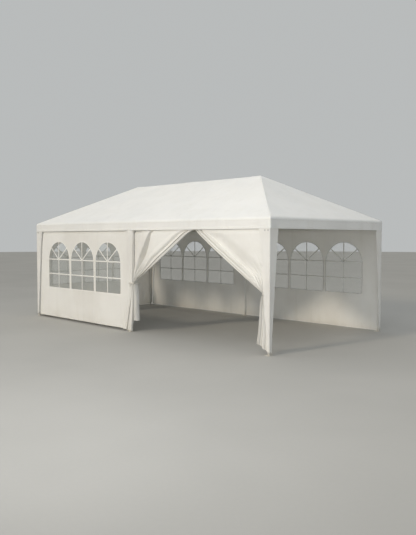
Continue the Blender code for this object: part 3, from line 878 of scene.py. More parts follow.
def roofProfile():
    # Levels from the hem to the ridge: height, reach to the front, reach to the end, length so far.
    halfLength, halfWidth = roofHigh[0], roofHigh[1]
    eave, peak = roofCover["eaveHeight"], roofHigh[2]
    sideSlope = math.atan2(peak - eave, halfWidth)
    endSlope = math.atan2(peak - eave, halfLength - roofCover["ridgeHalf"])
    radius = roofCover["eaveRounding"]

    def bendStart(slope):  # height at which the valance bends over into the slope
        return eave + radius * (math.tan(slope) - 1 / math.cos(slope))

    def reach(z, half, slope):
        up = z - bendStart(slope)
        if up <= 0:
            return half
        if up < radius * math.cos(slope):
            return half - radius + math.sqrt(radius ** 2 - up ** 2)
        return half - (z - eave) / math.tan(slope)

    hem = roofLow[2]
    start = bendStart(sideSlope)
    hemTop = hem + roofCover["hemWidth"]
    heights = [hem, hem + 0.0012, hem + 0.009, hem + 0.018, hemTop - 0.001, hemTop + 0.001]
    heights += list(np.linspace(hemTop + 0.012, start - 0.004, 9))
    heights += [start + radius * math.sin(a) for a in np.linspace(0.0, math.pi / 2 - sideSlope, 8)]
    shares = np.linspace(0.0, 1.0, roofCover["slopeRows"])[1:]
    last = heights[-1]
    heights += [last + (peak - last) * (1 - (1 - s) ** 1.08) for s in shares]
    levels, length, before = [], 0.0, None
    for z in heights:
        y, x = reach(z, halfWidth, sideSlope), reach(z, halfLength, endSlope)
        if z >= peak - 1e-9:
            y, x = 0.0, roofCover["ridgeHalf"]
        tip = roofCover["ridgeRound"]
        soft = peak - math.tan(sideSlope) * math.hypot(y, tip) if z > eave + 0.1 else z
        if before:
            length += math.hypot(before[0] - y, before[1] - soft)
        before = (y, soft)
        levels.append((soft, y, x, length))
    return np.array(levels)


roofLevels = roofProfile()


def roofOffsets(side, along, z, reachHere):  # how far the sheet sags, and how far it stands off the slope
    low, high = roofCover["eaveHeight"], roofHigh[2]
    up = min(max((z - low) / (high - low), 0.0), 1.0)
    onSlope = smooth((z - low - 0.01) / 0.05) * smooth((high - z) / 0.03)
    worldAlong = along if side in ("front", "right") else -along
    part = np.clip(abs(along) / max(reachHere, 1e-6), 0.0, 1.0)
    arch = math.sin(math.pi * up ** 0.85)
    if side in ("front", "back"):
        belly, seed = arch * np.sin(math.pi * part), {"front": 0.0, "back": 7.3}[side]
    else:
        belly, seed = 0.9 * arch * np.cos(math.pi / 2 * part), {"right": 3.1, "left": 12.4}[side]
    drop = roofCover["sag"] * belly * onSlope
    lift = roofCover["wave"] * uneven(roofWaves, worldAlong + seed, up * 1.7 + seed) * onSlope
    if side in ("front", "back"):  # tension creases from the ridge's ends down to the middle posts
        for tip in (-1, 1):
            for foot, width, strength in roofCover["creases"]:
                line = tip * (foot + (roofCover["ridgeHalf"] - foot) * up)
                pull = bell(worldAlong, line, width) * math.sin(math.pi * up)
                lift = lift + roofCover["crease"] * strength * pull
    return drop, lift, onSlope


def roofRing(level):  # one ring of the cover, round the four sides and their corners
    z, y, x, length = level
    slope = math.atan2(roofHigh[2] - roofCover["eaveHeight"], roofHigh[1])
    turn = smooth((z - roofLow[2] - 0.10) / 0.10)
    corner = roofCover["cornerRound"] + (roofCover["hipRound"] - roofCover["cornerRound"]) * turn
    corner = min(corner, y * 0.45)
    valance = smooth((roofCover["eaveHeight"] - 0.02 - z) / 0.13)
    hem = roofCover["hemStep"] if z < roofLow[2] + roofCover["hemWidth"] else 0.0
    arc = np.radians(90.0 * np.arange(1, roofCover["cornerColumns"]) / roofCover["cornerColumns"])
    ring = []
    for number, (side, half, out, columns) in enumerate((
        ("front", x, y, roofCover["sideColumns"]),
        ("right", y, x, roofCover["endColumns"]),
        ("back", x, y, roofCover["sideColumns"]),
        ("left", y, x, roofCover["endColumns"]),
    )):
        outward, rightward = outOf(side), onSide(side, 1.0, 0.0, 0.0)
        along = np.linspace(corner - half, half - corner, columns)
        turned = np.concatenate([np.zeros(columns), arc])[:, None]
        along = np.concatenate([along, np.full(len(arc), half - corner)])
        way = outward * np.cos(turned) + rightward * np.sin(turned)
        points = onSide(side, along, out - corner, z) + way * corner
        drop, lift, onSlope = roofOffsets(side, along, z, half)
        loose = 1.0 - np.exp((abs(along) - half) / 0.10)
        spot = along + 9.0 * number
        wave = roofCover["valanceWave"] * uneven(valanceWaves, spot, z * 0.6) * valance * loose
        fine = roofCover["ripple"] * uneven(ripples, spot, z * 2) * loose * (1 - onSlope)
        points = points + way * (wave + fine + hem + lift * math.sin(slope))[:, None]
        points[:, 2] += lift * math.cos(slope) - drop
        ring.append(points)
    ring = np.vstack(ring)
    across = np.abs(ring[:, 0])  # the ridge dips a little between the sockets it rides over
    between = smooth((across - 0.16) / 0.10) * smooth((ridgeX - 0.14 - across) / 0.10)
    ring[:, 2] -= roofCover["hubRise"] * between * smooth(1 - (roofHigh[2] - z) / 0.05)
    return ring, together(lengthAlong(ring[:, :2]), length)


def buildRoof():
    rings, flats = zip(*[roofRing(level) for level in roofLevels])
    part = gridPart(np.array(rings), np.array(flats), closed=True)
    piece = meshPiece("roof_cover_sheet", *part, "roofSheet", "roof_sheet", ("roof_cover",))
    rework(piece, mergeDoubles)
    thicken(piece, roofCover["thickness"])
    return piece


roofSeam = {  # the tapes over the four hips, and the rows of stitches
    "rise": 0.0010,
    "edgeRise": 0.0002,
    "stitchIn": 1,  # columns from a tape's edge to its row of stitches
    "hemStitch": 0.022,  # above the valance's edge
    "eaveStitch": 0.118,
}


def facing(points):  # the way a grid of points faces, away from the tent's middle
    across, up = np.gradient(points, axis=1), np.gradient(points, axis=0)
    out = np.cross(across, up)
    out /= np.maximum(np.linalg.norm(out, axis=-1), 1e-9)[..., None]
    centre = np.array([0.0, 0.0, 1.0])
    return out * np.sign(np.sum(out * (points - centre), axis=-1))[..., None]


def addRoofSeams():
    rings = np.array([roofRing(level)[0] for level in roofLevels[:-3]])
    count = rings.shape[1]
    tapes, rows, start = [], [], 0
    span = roofCover["cornerColumns"] + 1
    for columns in (roofCover["sideColumns"], roofCover["endColumns"]) * 2:
        spots = [(start + columns - 1 + k) % count for k in range(span)]
        start += columns + roofCover["cornerColumns"] - 1
        strip = rings[:, spots]
        out = facing(strip)
        lift = np.full(span, roofSeam["rise"])
        lift[[0, -1]] = roofSeam["edgeRise"]
        tape = strip + out * lift[None, :, None]
        width = np.linalg.norm(np.diff(strip, axis=1), axis=-1).mean() * np.arange(span)
        tapes.append(gridPart(tape, together(width[None, :], roofLevels[:-3, 3:4])))
        for column in (roofSeam["stitchIn"], span - 1 - roofSeam["stitchIn"]):
            rows.append(stitchPart(tape[:, column], out[:, column]))
    for up in (roofSeam["hemStitch"], roofSeam["eaveStitch"]):
        ring = roofRing((roofLow[2] + up, roofHigh[1], roofHigh[0], 0.0))[0]
        ring = np.vstack([ring, ring[:1]])
        way = np.gradient(ring, axis=0)
        out = np.stack([way[:, 1], -way[:, 0], np.zeros(len(ring))], axis=1)
        rows.append(stitchPart(ring, unit(out)))
    meshPiece("roof_hip_tapes", *joinParts(tapes), "roofSheet", "roof_sheet")
    meshPiece("roof_stitches", *joinParts(rows), "thread", "roof_sheet")


roof = buildRoof()
addRoofSeams()
print("roof cover built:", len(roof.data.polygons), "faces")


# window walls

windowWall = {
    "bottom": 0.042,
    "tuck": 0.024,  # how far the sheet falls back under the valance
    "skirtFold": 0.009,
    "bodyFold": 0.0030,
    "foldPace": (2.0, 0.30),  # how fast each kind of fold changes along the wall, and up it
    "ridgePace": (1.3, 0.22),
    "bodyPace": (1.6, 0.7),
    "ridgeLean": 0.12,
    "ridgeShare": 0.5,  # of sharp folds beside the soft ones
    "thickness": 0.0012,
    "hemWidth": 0.030,
    "hemStep": 0.0008,
    "windowColumns": 26,
    "skirtRows": 40,
    "windowRows": 30,
    "upperRows": 30,
    "postHold": 0.85,  # how much of its folds the posts press flat
    "postWidth": 0.09,
    "edgeBulge": 0.010,  # round the middle post, by the free edge beside the door
    "edgeCurl": (0.004, 0.012),  # of that edge, and how much more of it at the foot
    "slack": 0.155,  # how far that edge is off the post at the foot
    "drop": 0.034,  # the walls that meet at a corner hang this much lower than the front one
}
windowPane = {
    "count": 3,
    "width": 0.725,
    "gap": 0.060,
    "sill": 0.615,
    "spring": 1.130,
    "overlap": 0.006,  # of the film and the bars beyond the opening
    "thickness": 0.0006,
    "setIn": 0.0022,
    "ripple": 0.0022,
}
windowBar = {
    "width": 0.021,
    "standOff": 0.0012,
    "profile": (0.0, 0.0006, 0.0006, 0.0),  # heights across it
    "thickness": 0.0009,
    "heights": (0.877, 1.157),
    "fanTurn": 39.0,  # degrees above level
    "seamWidth": 0.013,  # of the seams round the windows
    "seamStep": 0.0008,
}
foldWaves = makeWaves(21, 8, 1.5, 0.16)
bodyWaves = makeWaves(22, 7, 1.2, 0.20)
paneWaves = makeWaves(23, 6, 0.6, 0.09)

# Each wall's side, its plane, where its row of windows is centred, its ends at the bottom and the
# top, and the posts it passes, all as seen from outside.
wallPlans = {
    "front_left": {"side": "front", "out": wallY, "middle": -1.3795, "bottom": (-2.880, 0.100),
                   "top": (-2.735, 0.100), "posts": (-legX, 0.0), "seed": 0.0, "loose": True},
    "back_left": {"side": "back", "out": wallY, "middle": bayMiddle, "bottom": (0.004, 2.924),
                  "top": (0.004, 2.794), "posts": (0.0, legX), "seed": 5.1, "loose": False},
    "back_right": {"side": "back", "out": wallY, "middle": -bayMiddle, "bottom": (-2.988, -0.004),
                   "top": (-2.988, -0.004), "posts": (-legX, 0.0), "seed": 9.7, "loose": False},
    "left_end": {"side": "left", "out": wallX, "middle": 0.0, "bottom": (-1.488, 1.488),
                 "top": (-1.488, 1.488), "posts": (-legY, legY), "seed": 14.2, "loose": False},
}


def wallStandOff(plan, along, z):  # how far the sheet stands out from its plane
    seed = plan["seed"]
    skirt = smooth((windowPane["sill"] - 0.02 - z) / 0.40)
    hung = smooth((z - windowWall["bottom"]) / 0.10) * 0.5 + 0.5
    pace, rise = windowWall["foldPace"]
    folds = uneven(foldWaves, along * pace + seed, z * rise + seed)
    pace, rise = windowWall["ridgePace"]
    lean = along * windowWall["ridgeLean"]
    sharp = 1 - np.abs(uneven(foldWaves, along * pace + seed + 3, z * rise - lean)) * 1.6
    pace, rise = windowWall["bodyPace"]
    body = uneven(bodyWaves, along * pace + seed, z * rise)
    free = 1.0
    for post in plan["posts"]:
        free = free * (1 - windowWall["postHold"] * bell(along, post, windowWall["postWidth"]))
    under = bell(z, roofLow[2] + 0.005, 0.055) + 0.35 * bell(z, roofLow[2] - 0.10, 0.12)
    stand = (folds + windowWall["ridgeShare"] * sharp) * windowWall["skirtFold"] * skirt * hung
    stand = stand + body * windowWall["bodyFold"] * smooth((1.80 - z) / 0.2)
    stand = stand * free - windowWall["tuck"] * under * free
    if plan["loose"]:  # the end that runs round the middle post
        stand = stand + windowWall["edgeBulge"] * bell(along, -0.005, 0.055) * smooth((1.83 - z) / 0.10)
        curl, more = windowWall["edgeCurl"]
        curl = smooth((along - 0.055) / 0.05) * (curl + more * smooth((0.75 - z) / 0.6))
        stand = stand + curl * smooth((1.68 - z) / 0.1)
    above = smooth((z - roofLow[2] + 0.02) / 0.03)  # behind the valance it stays flat
    return np.minimum(stand, 0.05 * (1 - above) + 0.0008 * above)


def wallPlace(plan, lift=0.0):
    def place(along, z, height=0.0):
        out = plan["out"] + wallStandOff(plan, along, z) + lift + height
        return onSide(plan["side"], along, out, z)
    return place


def paneMiddles(plan):
    step = windowPane["width"] + windowPane["gap"]
    first = plan["middle"] - step * (windowPane["count"] - 1) / 2
    return [first + step * k for k in range(windowPane["count"])]


def wallColumns(plan):  # places along the wall, and the window that each strip is in
    half = windowPane["width"] / 2
    middles = paneMiddles(plan)
    turns = np.linspace(0.0, math.pi, windowWall["windowColumns"] + 1)
    places, windows = [], []
    low, high = plan["bottom"]
    margin = np.array([0.0, 0.0012, 0.012, 0.0275, 0.0290])
    left = np.concatenate([low + margin, np.arange(low + 0.05, middles[0] - half - 0.02, 0.022)])
    places += list(left)
    windows += [None] * len(left)
    for k, middle in enumerate(middles):
        places += list(middle - half * np.cos(turns))
        windows += [k] * windowWall["windowColumns"] + [None]
        if k < len(middles) - 1:
            between = np.linspace(middle + half, middles[k + 1] - half, 7)[1:-1]
            places += list(between)
            windows += [None] * len(between)
    right = np.concatenate([np.arange(middles[-1] + half + 0.02, high - 0.05, 0.022), high - margin[::-1]])
    places += list(right)
    windows += [None] * len(right)
    return np.array(places), windows


def wallTopPlace(plan, along, z):  # slants the ends in towards the top
    middles, half = paneMiddles(plan), windowPane["width"] / 2
    up = (z - windowWall["bottom"]) / (beamZ - windowWall["bottom"])
    leftRoom = middles[0] - half - 0.02
    rightRoom = middles[-1] + half + 0.02
    left = np.clip((leftRoom - along) / (leftRoom - plan["bottom"][0]), 0, 1)
    right = np.clip((along - rightRoom) / (plan["bottom"][1] - rightRoom), 0, 1)
    leftMove = (plan["top"][0] - plan["bottom"][0]) * left
    rightMove = (plan["top"][1] - plan["bottom"][1]) * right
    return along + (leftMove + rightMove) * up


def wallSurface(plan, along, z, height=0.0):  # along is measured at the bottom edge
    points = wallPlace(plan)(wallTopPlace(plan, along, z), z, height)
    if plan["loose"]:  # the edge beside the door hangs away from the post towards the foot
        slack = smooth((along + 0.30) / 0.40) * np.clip((0.95 - z) / 0.90, 0.0, 1.0) ** 1.45
        turned = smooth((along - 0.07) / 0.03) * smooth((0.30 - z) / 0.24)
        points[..., 0] -= windowWall["slack"] * slack
        points[..., 1] += 0.003 * turned
    return points


def archTop(plan, along):
    top = np.full(np.shape(along), windowPane["spring"])
    for middle in paneMiddles(plan):
        inside = np.clip(1 - ((along - middle) / (windowPane["width"] / 2)) ** 2, 0, 1)
        top = top + windowPane["width"] / 2 * np.sqrt(inside)
    return top


def wallHem(plan, along):  # height of the bottom edge
    if plan["loose"]:  # its corner beside the door hangs a little lower
        return windowWall["bottom"] - 0.008 * smooth((along + 0.40) / 0.50)
    return np.full(np.shape(along), windowWall["bottom"] - windowWall["drop"])


def addWallStitches(name, plan):
    low, high = plan["bottom"]
    along = np.arange(low + 0.004, high - 0.004, 0.025)
    hemRow = wallHem(plan, along) + windowWall["hemWidth"] - 0.004
    paths = [(along, hemRow)]
    for spot in (low + 0.024, high - 0.024):
        heights = np.arange(windowWall["bottom"] + 0.03, roofLow[2] + 0.02, 0.025)
        paths.append((np.full(len(heights), spot), heights))
    out = outOf(plan["side"])
    rows = [stitchPart(wallSurface(plan, a, z, windowWall["hemStep"]), out) for a, z in paths]
    meshPiece("wall_stitches_" + name, *joinParts(rows), "thread", "wall_sheet")


def addWall(name, plan):
    along, windows = wallColumns(plan)
    bottom = wallHem(plan, along)
    sill = np.full(len(along), windowPane["sill"])
    arch = archTop(plan, along)
    hem = windowWall["hemWidth"]
    steps = np.array([0.0, 0.0012, 0.010, 0.020, hem - 0.0012, hem])
    skirt = [bottom + s for s in steps]
    shares = np.linspace(0.0, 1.0, windowWall["skirtRows"])[1:]
    skirt += [bottom + hem + (sill - bottom - hem) * s for s in shares]
    panes = [sill + (arch - sill) * s for s in np.linspace(0.0, 1.0, windowWall["windowRows"])[1:]]
    shares = np.linspace(0.0, 1.0, windowWall["upperRows"])[1:] ** 0.9
    upper = [arch + (beamZ - arch) * s for s in shares]
    heights = np.array(skirt + panes + upper)
    firstPane, lastPane = len(skirt) - 1, len(skirt) + len(panes) - 1
    keep = [[window is None or not firstPane <= r < lastPane for window in windows]
            for r in range(len(heights))]
    alongs = wallTopPlace(plan, along[None, :], heights)
    inHem = (heights - bottom[None, :]) < hem - 0.0006
    edge = np.minimum(along - plan["bottom"][0], plan["bottom"][1] - along) < 0.0281
    step = windowWall["hemStep"] * (inHem | edge[None, :])
    points = wallSurface(plan, along[None, :], heights, step)
    flat = np.stack([alongs, heights], axis=-1)
    piece = meshPiece("wall_sheet_" + name, *gridPart(points, flat, keep), "wallSheet", "wall_sheet",
                      ("wall_" + name,))
    rework(piece, dropLoose)
    thicken(piece, windowWall["thickness"])
    lower, upperWidth = (plan[k][1] - plan[k][0] for k in ("bottom", "top"))
    height = beamZ - bottom[0]
    half = windowPane["width"] / 2
    opening = windowPane["width"] * (windowPane["spring"] - windowPane["sill"]) + math.pi * half ** 2 / 2
    cut = height * (lower + upperWidth) / 2 - windowPane["count"] * opening


def addPanes(name, plan):
    turns = np.linspace(0.0, math.pi, windowWall["windowColumns"] + 1)
    half = windowPane["width"] / 2 + windowPane["overlap"]
    low = windowPane["sill"] - windowPane["overlap"]
    shares = np.linspace(0.0, 1.0, 34)
    parts = []
    for k, middle in enumerate(paneMiddles(plan)):
        along = middle - half * np.cos(turns)
        top = windowPane["spring"] + half * np.sin(turns)
        heights = low + (top - low)[None, :] * shares[:, None]
        alongs = np.broadcast_to(along, heights.shape)
        spot = plan["seed"] + 3 * k
        ripple = windowPane["ripple"] * uneven(paneWaves, alongs * 1.6 + spot, heights * 0.8)
        tight = np.sin(turns)[None, :] * np.sin(math.pi * shares)[:, None]
        points = wallPlace(plan, -windowPane["setIn"])(alongs, heights, ripple * np.clip(tight * 2, 0, 1))
        parts.append(gridPart(points, np.stack([alongs, heights], axis=-1)))
    piece = meshPiece("window_panes_" + name, *joinParts(parts), "clearFilm", "window_film",
                      ("window_film_" + name,))
    thicken(piece, windowPane["thickness"])
    "wall_sheet_" + name


def addBars(name, plan):
    half, overlap = windowPane["width"] / 2, windowPane["overlap"]
    low, spring = windowPane["sill"] - overlap, windowPane["spring"]
    reach, springBar = half + overlap, windowBar["heights"][1]
    turn, rise, step = math.radians(windowBar["fanTurn"]), springBar - spring, windowBar["seamStep"]
    fan = math.sqrt(half ** 2 - (rise * math.cos(turn)) ** 2) - rise * math.sin(turn) + overlap
    place = wallPlace(plan, windowBar["standOff"])
    bars, seams = [], []
    for middle in paneMiddles(plan):
        left, right = middle - reach, middle + reach
        paths = [[(middle, z) for z in np.linspace(low - 0.002, spring + reach + 0.002, 30)]]
        paths += [[(x, z) for x in np.linspace(left, right, 22)] for z in windowBar["heights"]]
        paths += [[(middle + way * s * math.cos(turn), springBar + s * math.sin(turn))
                   for s in np.linspace(0.0, fan, 14)] for way in (-1, 1)]
        bars += [ribbonPart(place, path, windowBar["width"] / 2, windowBar["profile"]) for path in paths]
        outline = [(left, z) for z in np.linspace(low, spring, 16)[:-1]]
        outline += [(middle - reach * math.cos(a), spring + reach * math.sin(a))
                    for a in np.linspace(0.0, math.pi, 33)]
        outline += [(right, z) for z in np.linspace(spring, low, 16)[1:]]
        outline += [(x, low) for x in np.linspace(right, left, 18)[1:-1]]
        seams.append(ribbonPart(wallPlace(plan), outline, windowBar["seamWidth"] / 2,
                                [0.0, step, step, step, 0.0], closed=True))
    piece = meshPiece("window_bars_" + name, *joinParts(bars), "satinTape", "wall_sheet")
    thicken(piece, windowBar["thickness"])
    meshPiece("window_seams_" + name, *joinParts(seams), "satinTape", "wall_sheet")


for wallName, wallPlan in wallPlans.items():
    addWall(wallName, wallPlan)
    addPanes(wallName, wallPlan)
    addBars(wallName, wallPlan)
    addWallStitches(wallName, wallPlan)


postWrap = {  # the strip of cloth round the middle post beside the door
    "heights": (0.010, 0.108, 0.140, 0.30, 0.45, 0.85, 1.81),
    "left": (-0.072, -0.078, -0.094, -0.080, -0.060, -0.050, -0.050),
    "right": (0.046, 0.048, 0.060, 0.072, 0.085, 0.0985, 0.0985),
    "depth": (0.036, 0.036, 0.042, 0.045, 0.048, 0.052, 0.052),
    "back": (0.0090, 0.0085, 0.0050, 0.0050, 0.0050, 0.0050, 0.0050),  # behind the wall's plane
    "rounding": 0.007,
    "thickness": 0.0011,
    "topGap": 0.022,  # below the beam's middle
}


def addPostWrap(plan):
    low, high = postWrap["heights"][0], beamZ - postWrap["topGap"]
    rings, flats, widths = [], [], []
    bend = np.linspace(postWrap["heights"][1] - 0.004, postWrap["heights"][2] + 0.005, 8)
    heights = np.sort(np.concatenate([np.linspace(low, high, 64), bend]))
    for z in heights:
        left, right, depth, back = (np.interp(z, postWrap["heights"], postWrap[k])
                                    for k in ("left", "right", "depth", "back"))
        rest = float(wallStandOff(plan, np.array(0.095), np.array(z)))
        front = wallY - back + max(rest + 0.0018, 0.0) * smooth((z - 0.40) / 0.5)
        radius = postWrap["rounding"]
        spots = [(left + (right - radius - left) * s, front) for s in np.linspace(0.0, 1.0, 9)]
        spots += [(right - radius + radius * math.sin(a), front - radius + radius * math.cos(a))
                  for a in np.linspace(0.0, math.pi / 2, 6)[1:]]
        spots += [(right - 0.002 * s, front - radius - (depth - radius) * s)
                  for s in np.linspace(0.0, 1.0, 8)[1:]]
        spots = np.array(spots)
        lengths = lengthAlong(spots)
        widths.append(lengths[-1])
        rings.append(onSide(plan["side"], spots[:, 0], spots[:, 1], z))
        flats.append(together(left + lengths, z))
    piece = meshPiece("post_wrap_sheet", *gridPart(np.array(rings), np.array(flats)), "wallSheet",
                      "wall_sheet")
    thicken(piece, postWrap["thickness"])
    high - low


addPostWrap(wallPlans["front_left"])
print("window walls built")


# corner wraps

cornerWrap = {
    "thickness": 0.0011,
    "rounding": 0.013,
    "wave": 0.0022,
    "proud": 0.0012,
    "edgeRun": 0.0012,  # from its edge to where the cloth has turned in
    "topGap": 0.003,  # below the beam's middle
    "flatAbove": (1.68, 1.72),  # heights, behind the valance, for its wave and for its turned edge
    "rows": 60,
}
wrapTop = beamZ - cornerWrap["topGap"]
wrapWaves = makeWaves(31, 6, 0.8, 0.14)
# The sides before and after the corner, which of them has the wide flange, the widths of that one
# and of the other at the foot and at the top, how each widens, how far the wide one runs on
# behind the wall's edge, where the wrap ends above the ground, and how far its edge turns in.
wrapPlans = {
    "front_left": {"sides": ("left", "front"), "wide": "front", "broad": (0.058, 0.218),
                   "slim": (0.024, 0.060), "taper": (1.28, 1.5), "under": 0.115, "bottom": 0.045,
                   "hem": 0.044},
    "front_right": {"sides": ("front", "right"), "wide": "right", "broad": (0.042, 0.192),
                    "slim": (0.030, 0.200), "taper": (1.15, 1.0), "under": 0.0, "bottom": 0.035,
                    "hem": 0.026},
    "back_right": {"sides": ("right", "back"), "wide": "right", "broad": (0.042, 0.192),
                   "slim": (0.024, 0.060), "taper": (1.15, 1.5), "under": 0.0, "bottom": 0.045,
                   "hem": 0.026},
    "back_left": {"sides": ("back", "left"), "wide": "back", "broad": (0.052, 0.180),
                  "slim": (0.024, 0.060), "taper": (1.3, 1.5), "under": 0.045, "bottom": 0.045,
                  "hem": 0.026},
}


def sideReach(side):  # half its length, and how far out it is
    return (wallX, wallY) if side in ("front", "back") else (wallY, wallX)


def wrapFlange(plan, side, z, wave):  # from the corner outwards: distance, how far out, flat distance
    up = (z - plan["bottom"]) / (wrapTop - plan["bottom"])
    foot, top = plan["broad"] if side == plan["wide"] else plan["slim"]
    width = foot + (top - foot) * up ** plan["taper"][0 if side == plan["wide"] else 1]
    rounding, proud = cornerWrap["rounding"], cornerWrap["proud"]
    waveTop, turnTop = cornerWrap["flatAbove"]
    free = smooth((waveTop - z) / 0.1)
    spots = []
    for s in np.concatenate([np.linspace(1.0, 0.26, 12), [0.20, 0.12, 0.01, 0.0]]):
        away = width - (width - rounding) * s
        loose = (1 - s) * wave + 0.0025 * (1 - s) ** 3 * (1 - up)
        spots.append((away - proud, proud + loose * free, away))
    if side == plan["wide"]:
        for s in (0.1, 0.5, 1.0):
            turn = plan["hem"] * s * smooth((turnTop - z) / 0.06)
            edge = width - proud + cornerWrap["edgeRun"]
            spots.append((edge, proud - turn, width + turn))
        if plan["under"]:  # a strip of it runs on behind the wall's edge
            run = plan["under"] * smooth((turnTop - z) / 0.08)
            for s in (0.35, 1.0):
                spots.append((edge + run * s, proud - turn - 0.006 * s, width + turn + run * s))
    return spots


def addWrap(name, plan):
    before, after = plan["sides"]
    low, high = plan["bottom"], wrapTop
    rounding = cornerWrap["rounding"]
    first, last = outOf(before), outOf(after)
    rings, flats = [], []
    for z in np.linspace(low, high, cornerWrap["rows"]):
        wave = cornerWrap["wave"] * uneven(wrapWaves, np.array([z * 1.3]), len(name))[0]
        half, out = sideReach(before)
        spots = wrapFlange(plan, before, z, wave)[::-1]
        ring = [onSide(before, half - away, out + lift, z) for away, lift, _ in spots]
        flat = [(-length, z) for _, _, length in spots]
        inner = out + cornerWrap["proud"] - rounding
        corner = onSide(before, half + cornerWrap["proud"] - rounding, inner, z)
        for a in np.linspace(0.0, math.pi / 2, 9)[1:-1]:
            ring.append(corner + (first * math.cos(a) + last * math.sin(a)) * rounding)
            flat.append((rounding * (a / (math.pi / 2) * 2 - 1), z))
        half, out = sideReach(after)
        spots = wrapFlange(plan, after, z, wave)
        ring += [onSide(after, away - half, out + lift, z) for away, lift, _ in spots]
        flat += [(length, z) for _, _, length in spots]
        rings.append(ring)
        flats.append(flat)
    part = gridPart(np.array(rings), np.array(flats))
    piece = meshPiece("corner_wrap_sheet_" + name, *part, "wallSheet", "wall_sheet", ("corner_wrap_" + name,))
    thicken(piece, cornerWrap["thickness"])
    (wideFoot, wideTop), (slimFoot, slimTop) = plan["broad"], plan["slim"]
    width = wideFoot + (wideTop - wideFoot) / (1 + plan["taper"][0]) + plan["hem"]
    width += slimFoot + (slimTop - slimFoot) / (1 + plan["taper"][1]) + plan["under"]
    whole = wideTop + slimTop + plan["hem"] + plan["under"]
    high - low
    width * (high - low)


for wrapName, wrapPlan in wrapPlans.items():
    addWrap(wrapName, wrapPlan)


eyelet = {
    "along": (0.030, 0.082),  # from the corner
    "height": 1.6735,
    "ring": ((0.0002, 0.0088), (0.0013, 0.0080), (0.0019, 0.0063), (0.0014, 0.0048), (-0.0004, 0.0042)),
    "standOff": 0.0046,
    "cordRadius": 0.0034,
    "cordHeight": 0.0030,
}


def addEyelets():  # elastic cord comes out of a pair of eyelets at each corner post
    rings, cords = [], []
    for side in ("front", "back"):
        half, out = sideReach(side)
        for end in (-1, 1):
            for away in eyelet["along"]:
                spot = onSide(side, end * (half - away), out + eyelet["standOff"], eyelet["height"])
                rings.append(turnedPart(spot, outOf(side), eyelet["ring"], 18))
                cords.append(domePart(spot, outOf(side), eyelet["cordRadius"], eyelet["cordHeight"]))
    addSteel("corner_eyelets", rings, "zinc", None, sharp=50)
    addSteel("corner_cord_knots", cords, "elasticCord", None, sharp=60)


addEyelets()
print("corner wraps built")


# door curtains

doorCurtain = {
    "thickness": 0.0012,
    "tie": 0.82,  # height of the band
    "tieRoom": 0.016,
    "apexGap": 0.004,
    "bulge": 0.012,
    "crumple": 0.0024,
    "crestRun": 0.15,  # how far beside the border the sheet comes forward to it
    "valleyRun": 0.42,  # how far beside the border it sinks
    "valleyEdge": 0.84,  # the share of the border, from its free edge, that stays forward
    "foldRun": 0.36,  # the shares of the fold where it has its depth, and where it comes back
    "foldEnd": 0.92,
    "tiePleat": 0.055,  # depth of the border's own pleats at the band
    "tiePleats": (0.20, 0.50, 0.80),
    "pleatSum": 0.17,  # widths of all pleats together at the band, as a share of the sheet
    "tailClose": 0.62,  # how much narrower they are below it
    "pleatUneven": 0.14,
    "twist": 0.012,  # of the tail's edge
    "halfWay": 0.53,  # where the places half way down are, as a share of the way to the band
    "fallBack": 0.018,  # how far it gives way just under the valance
}
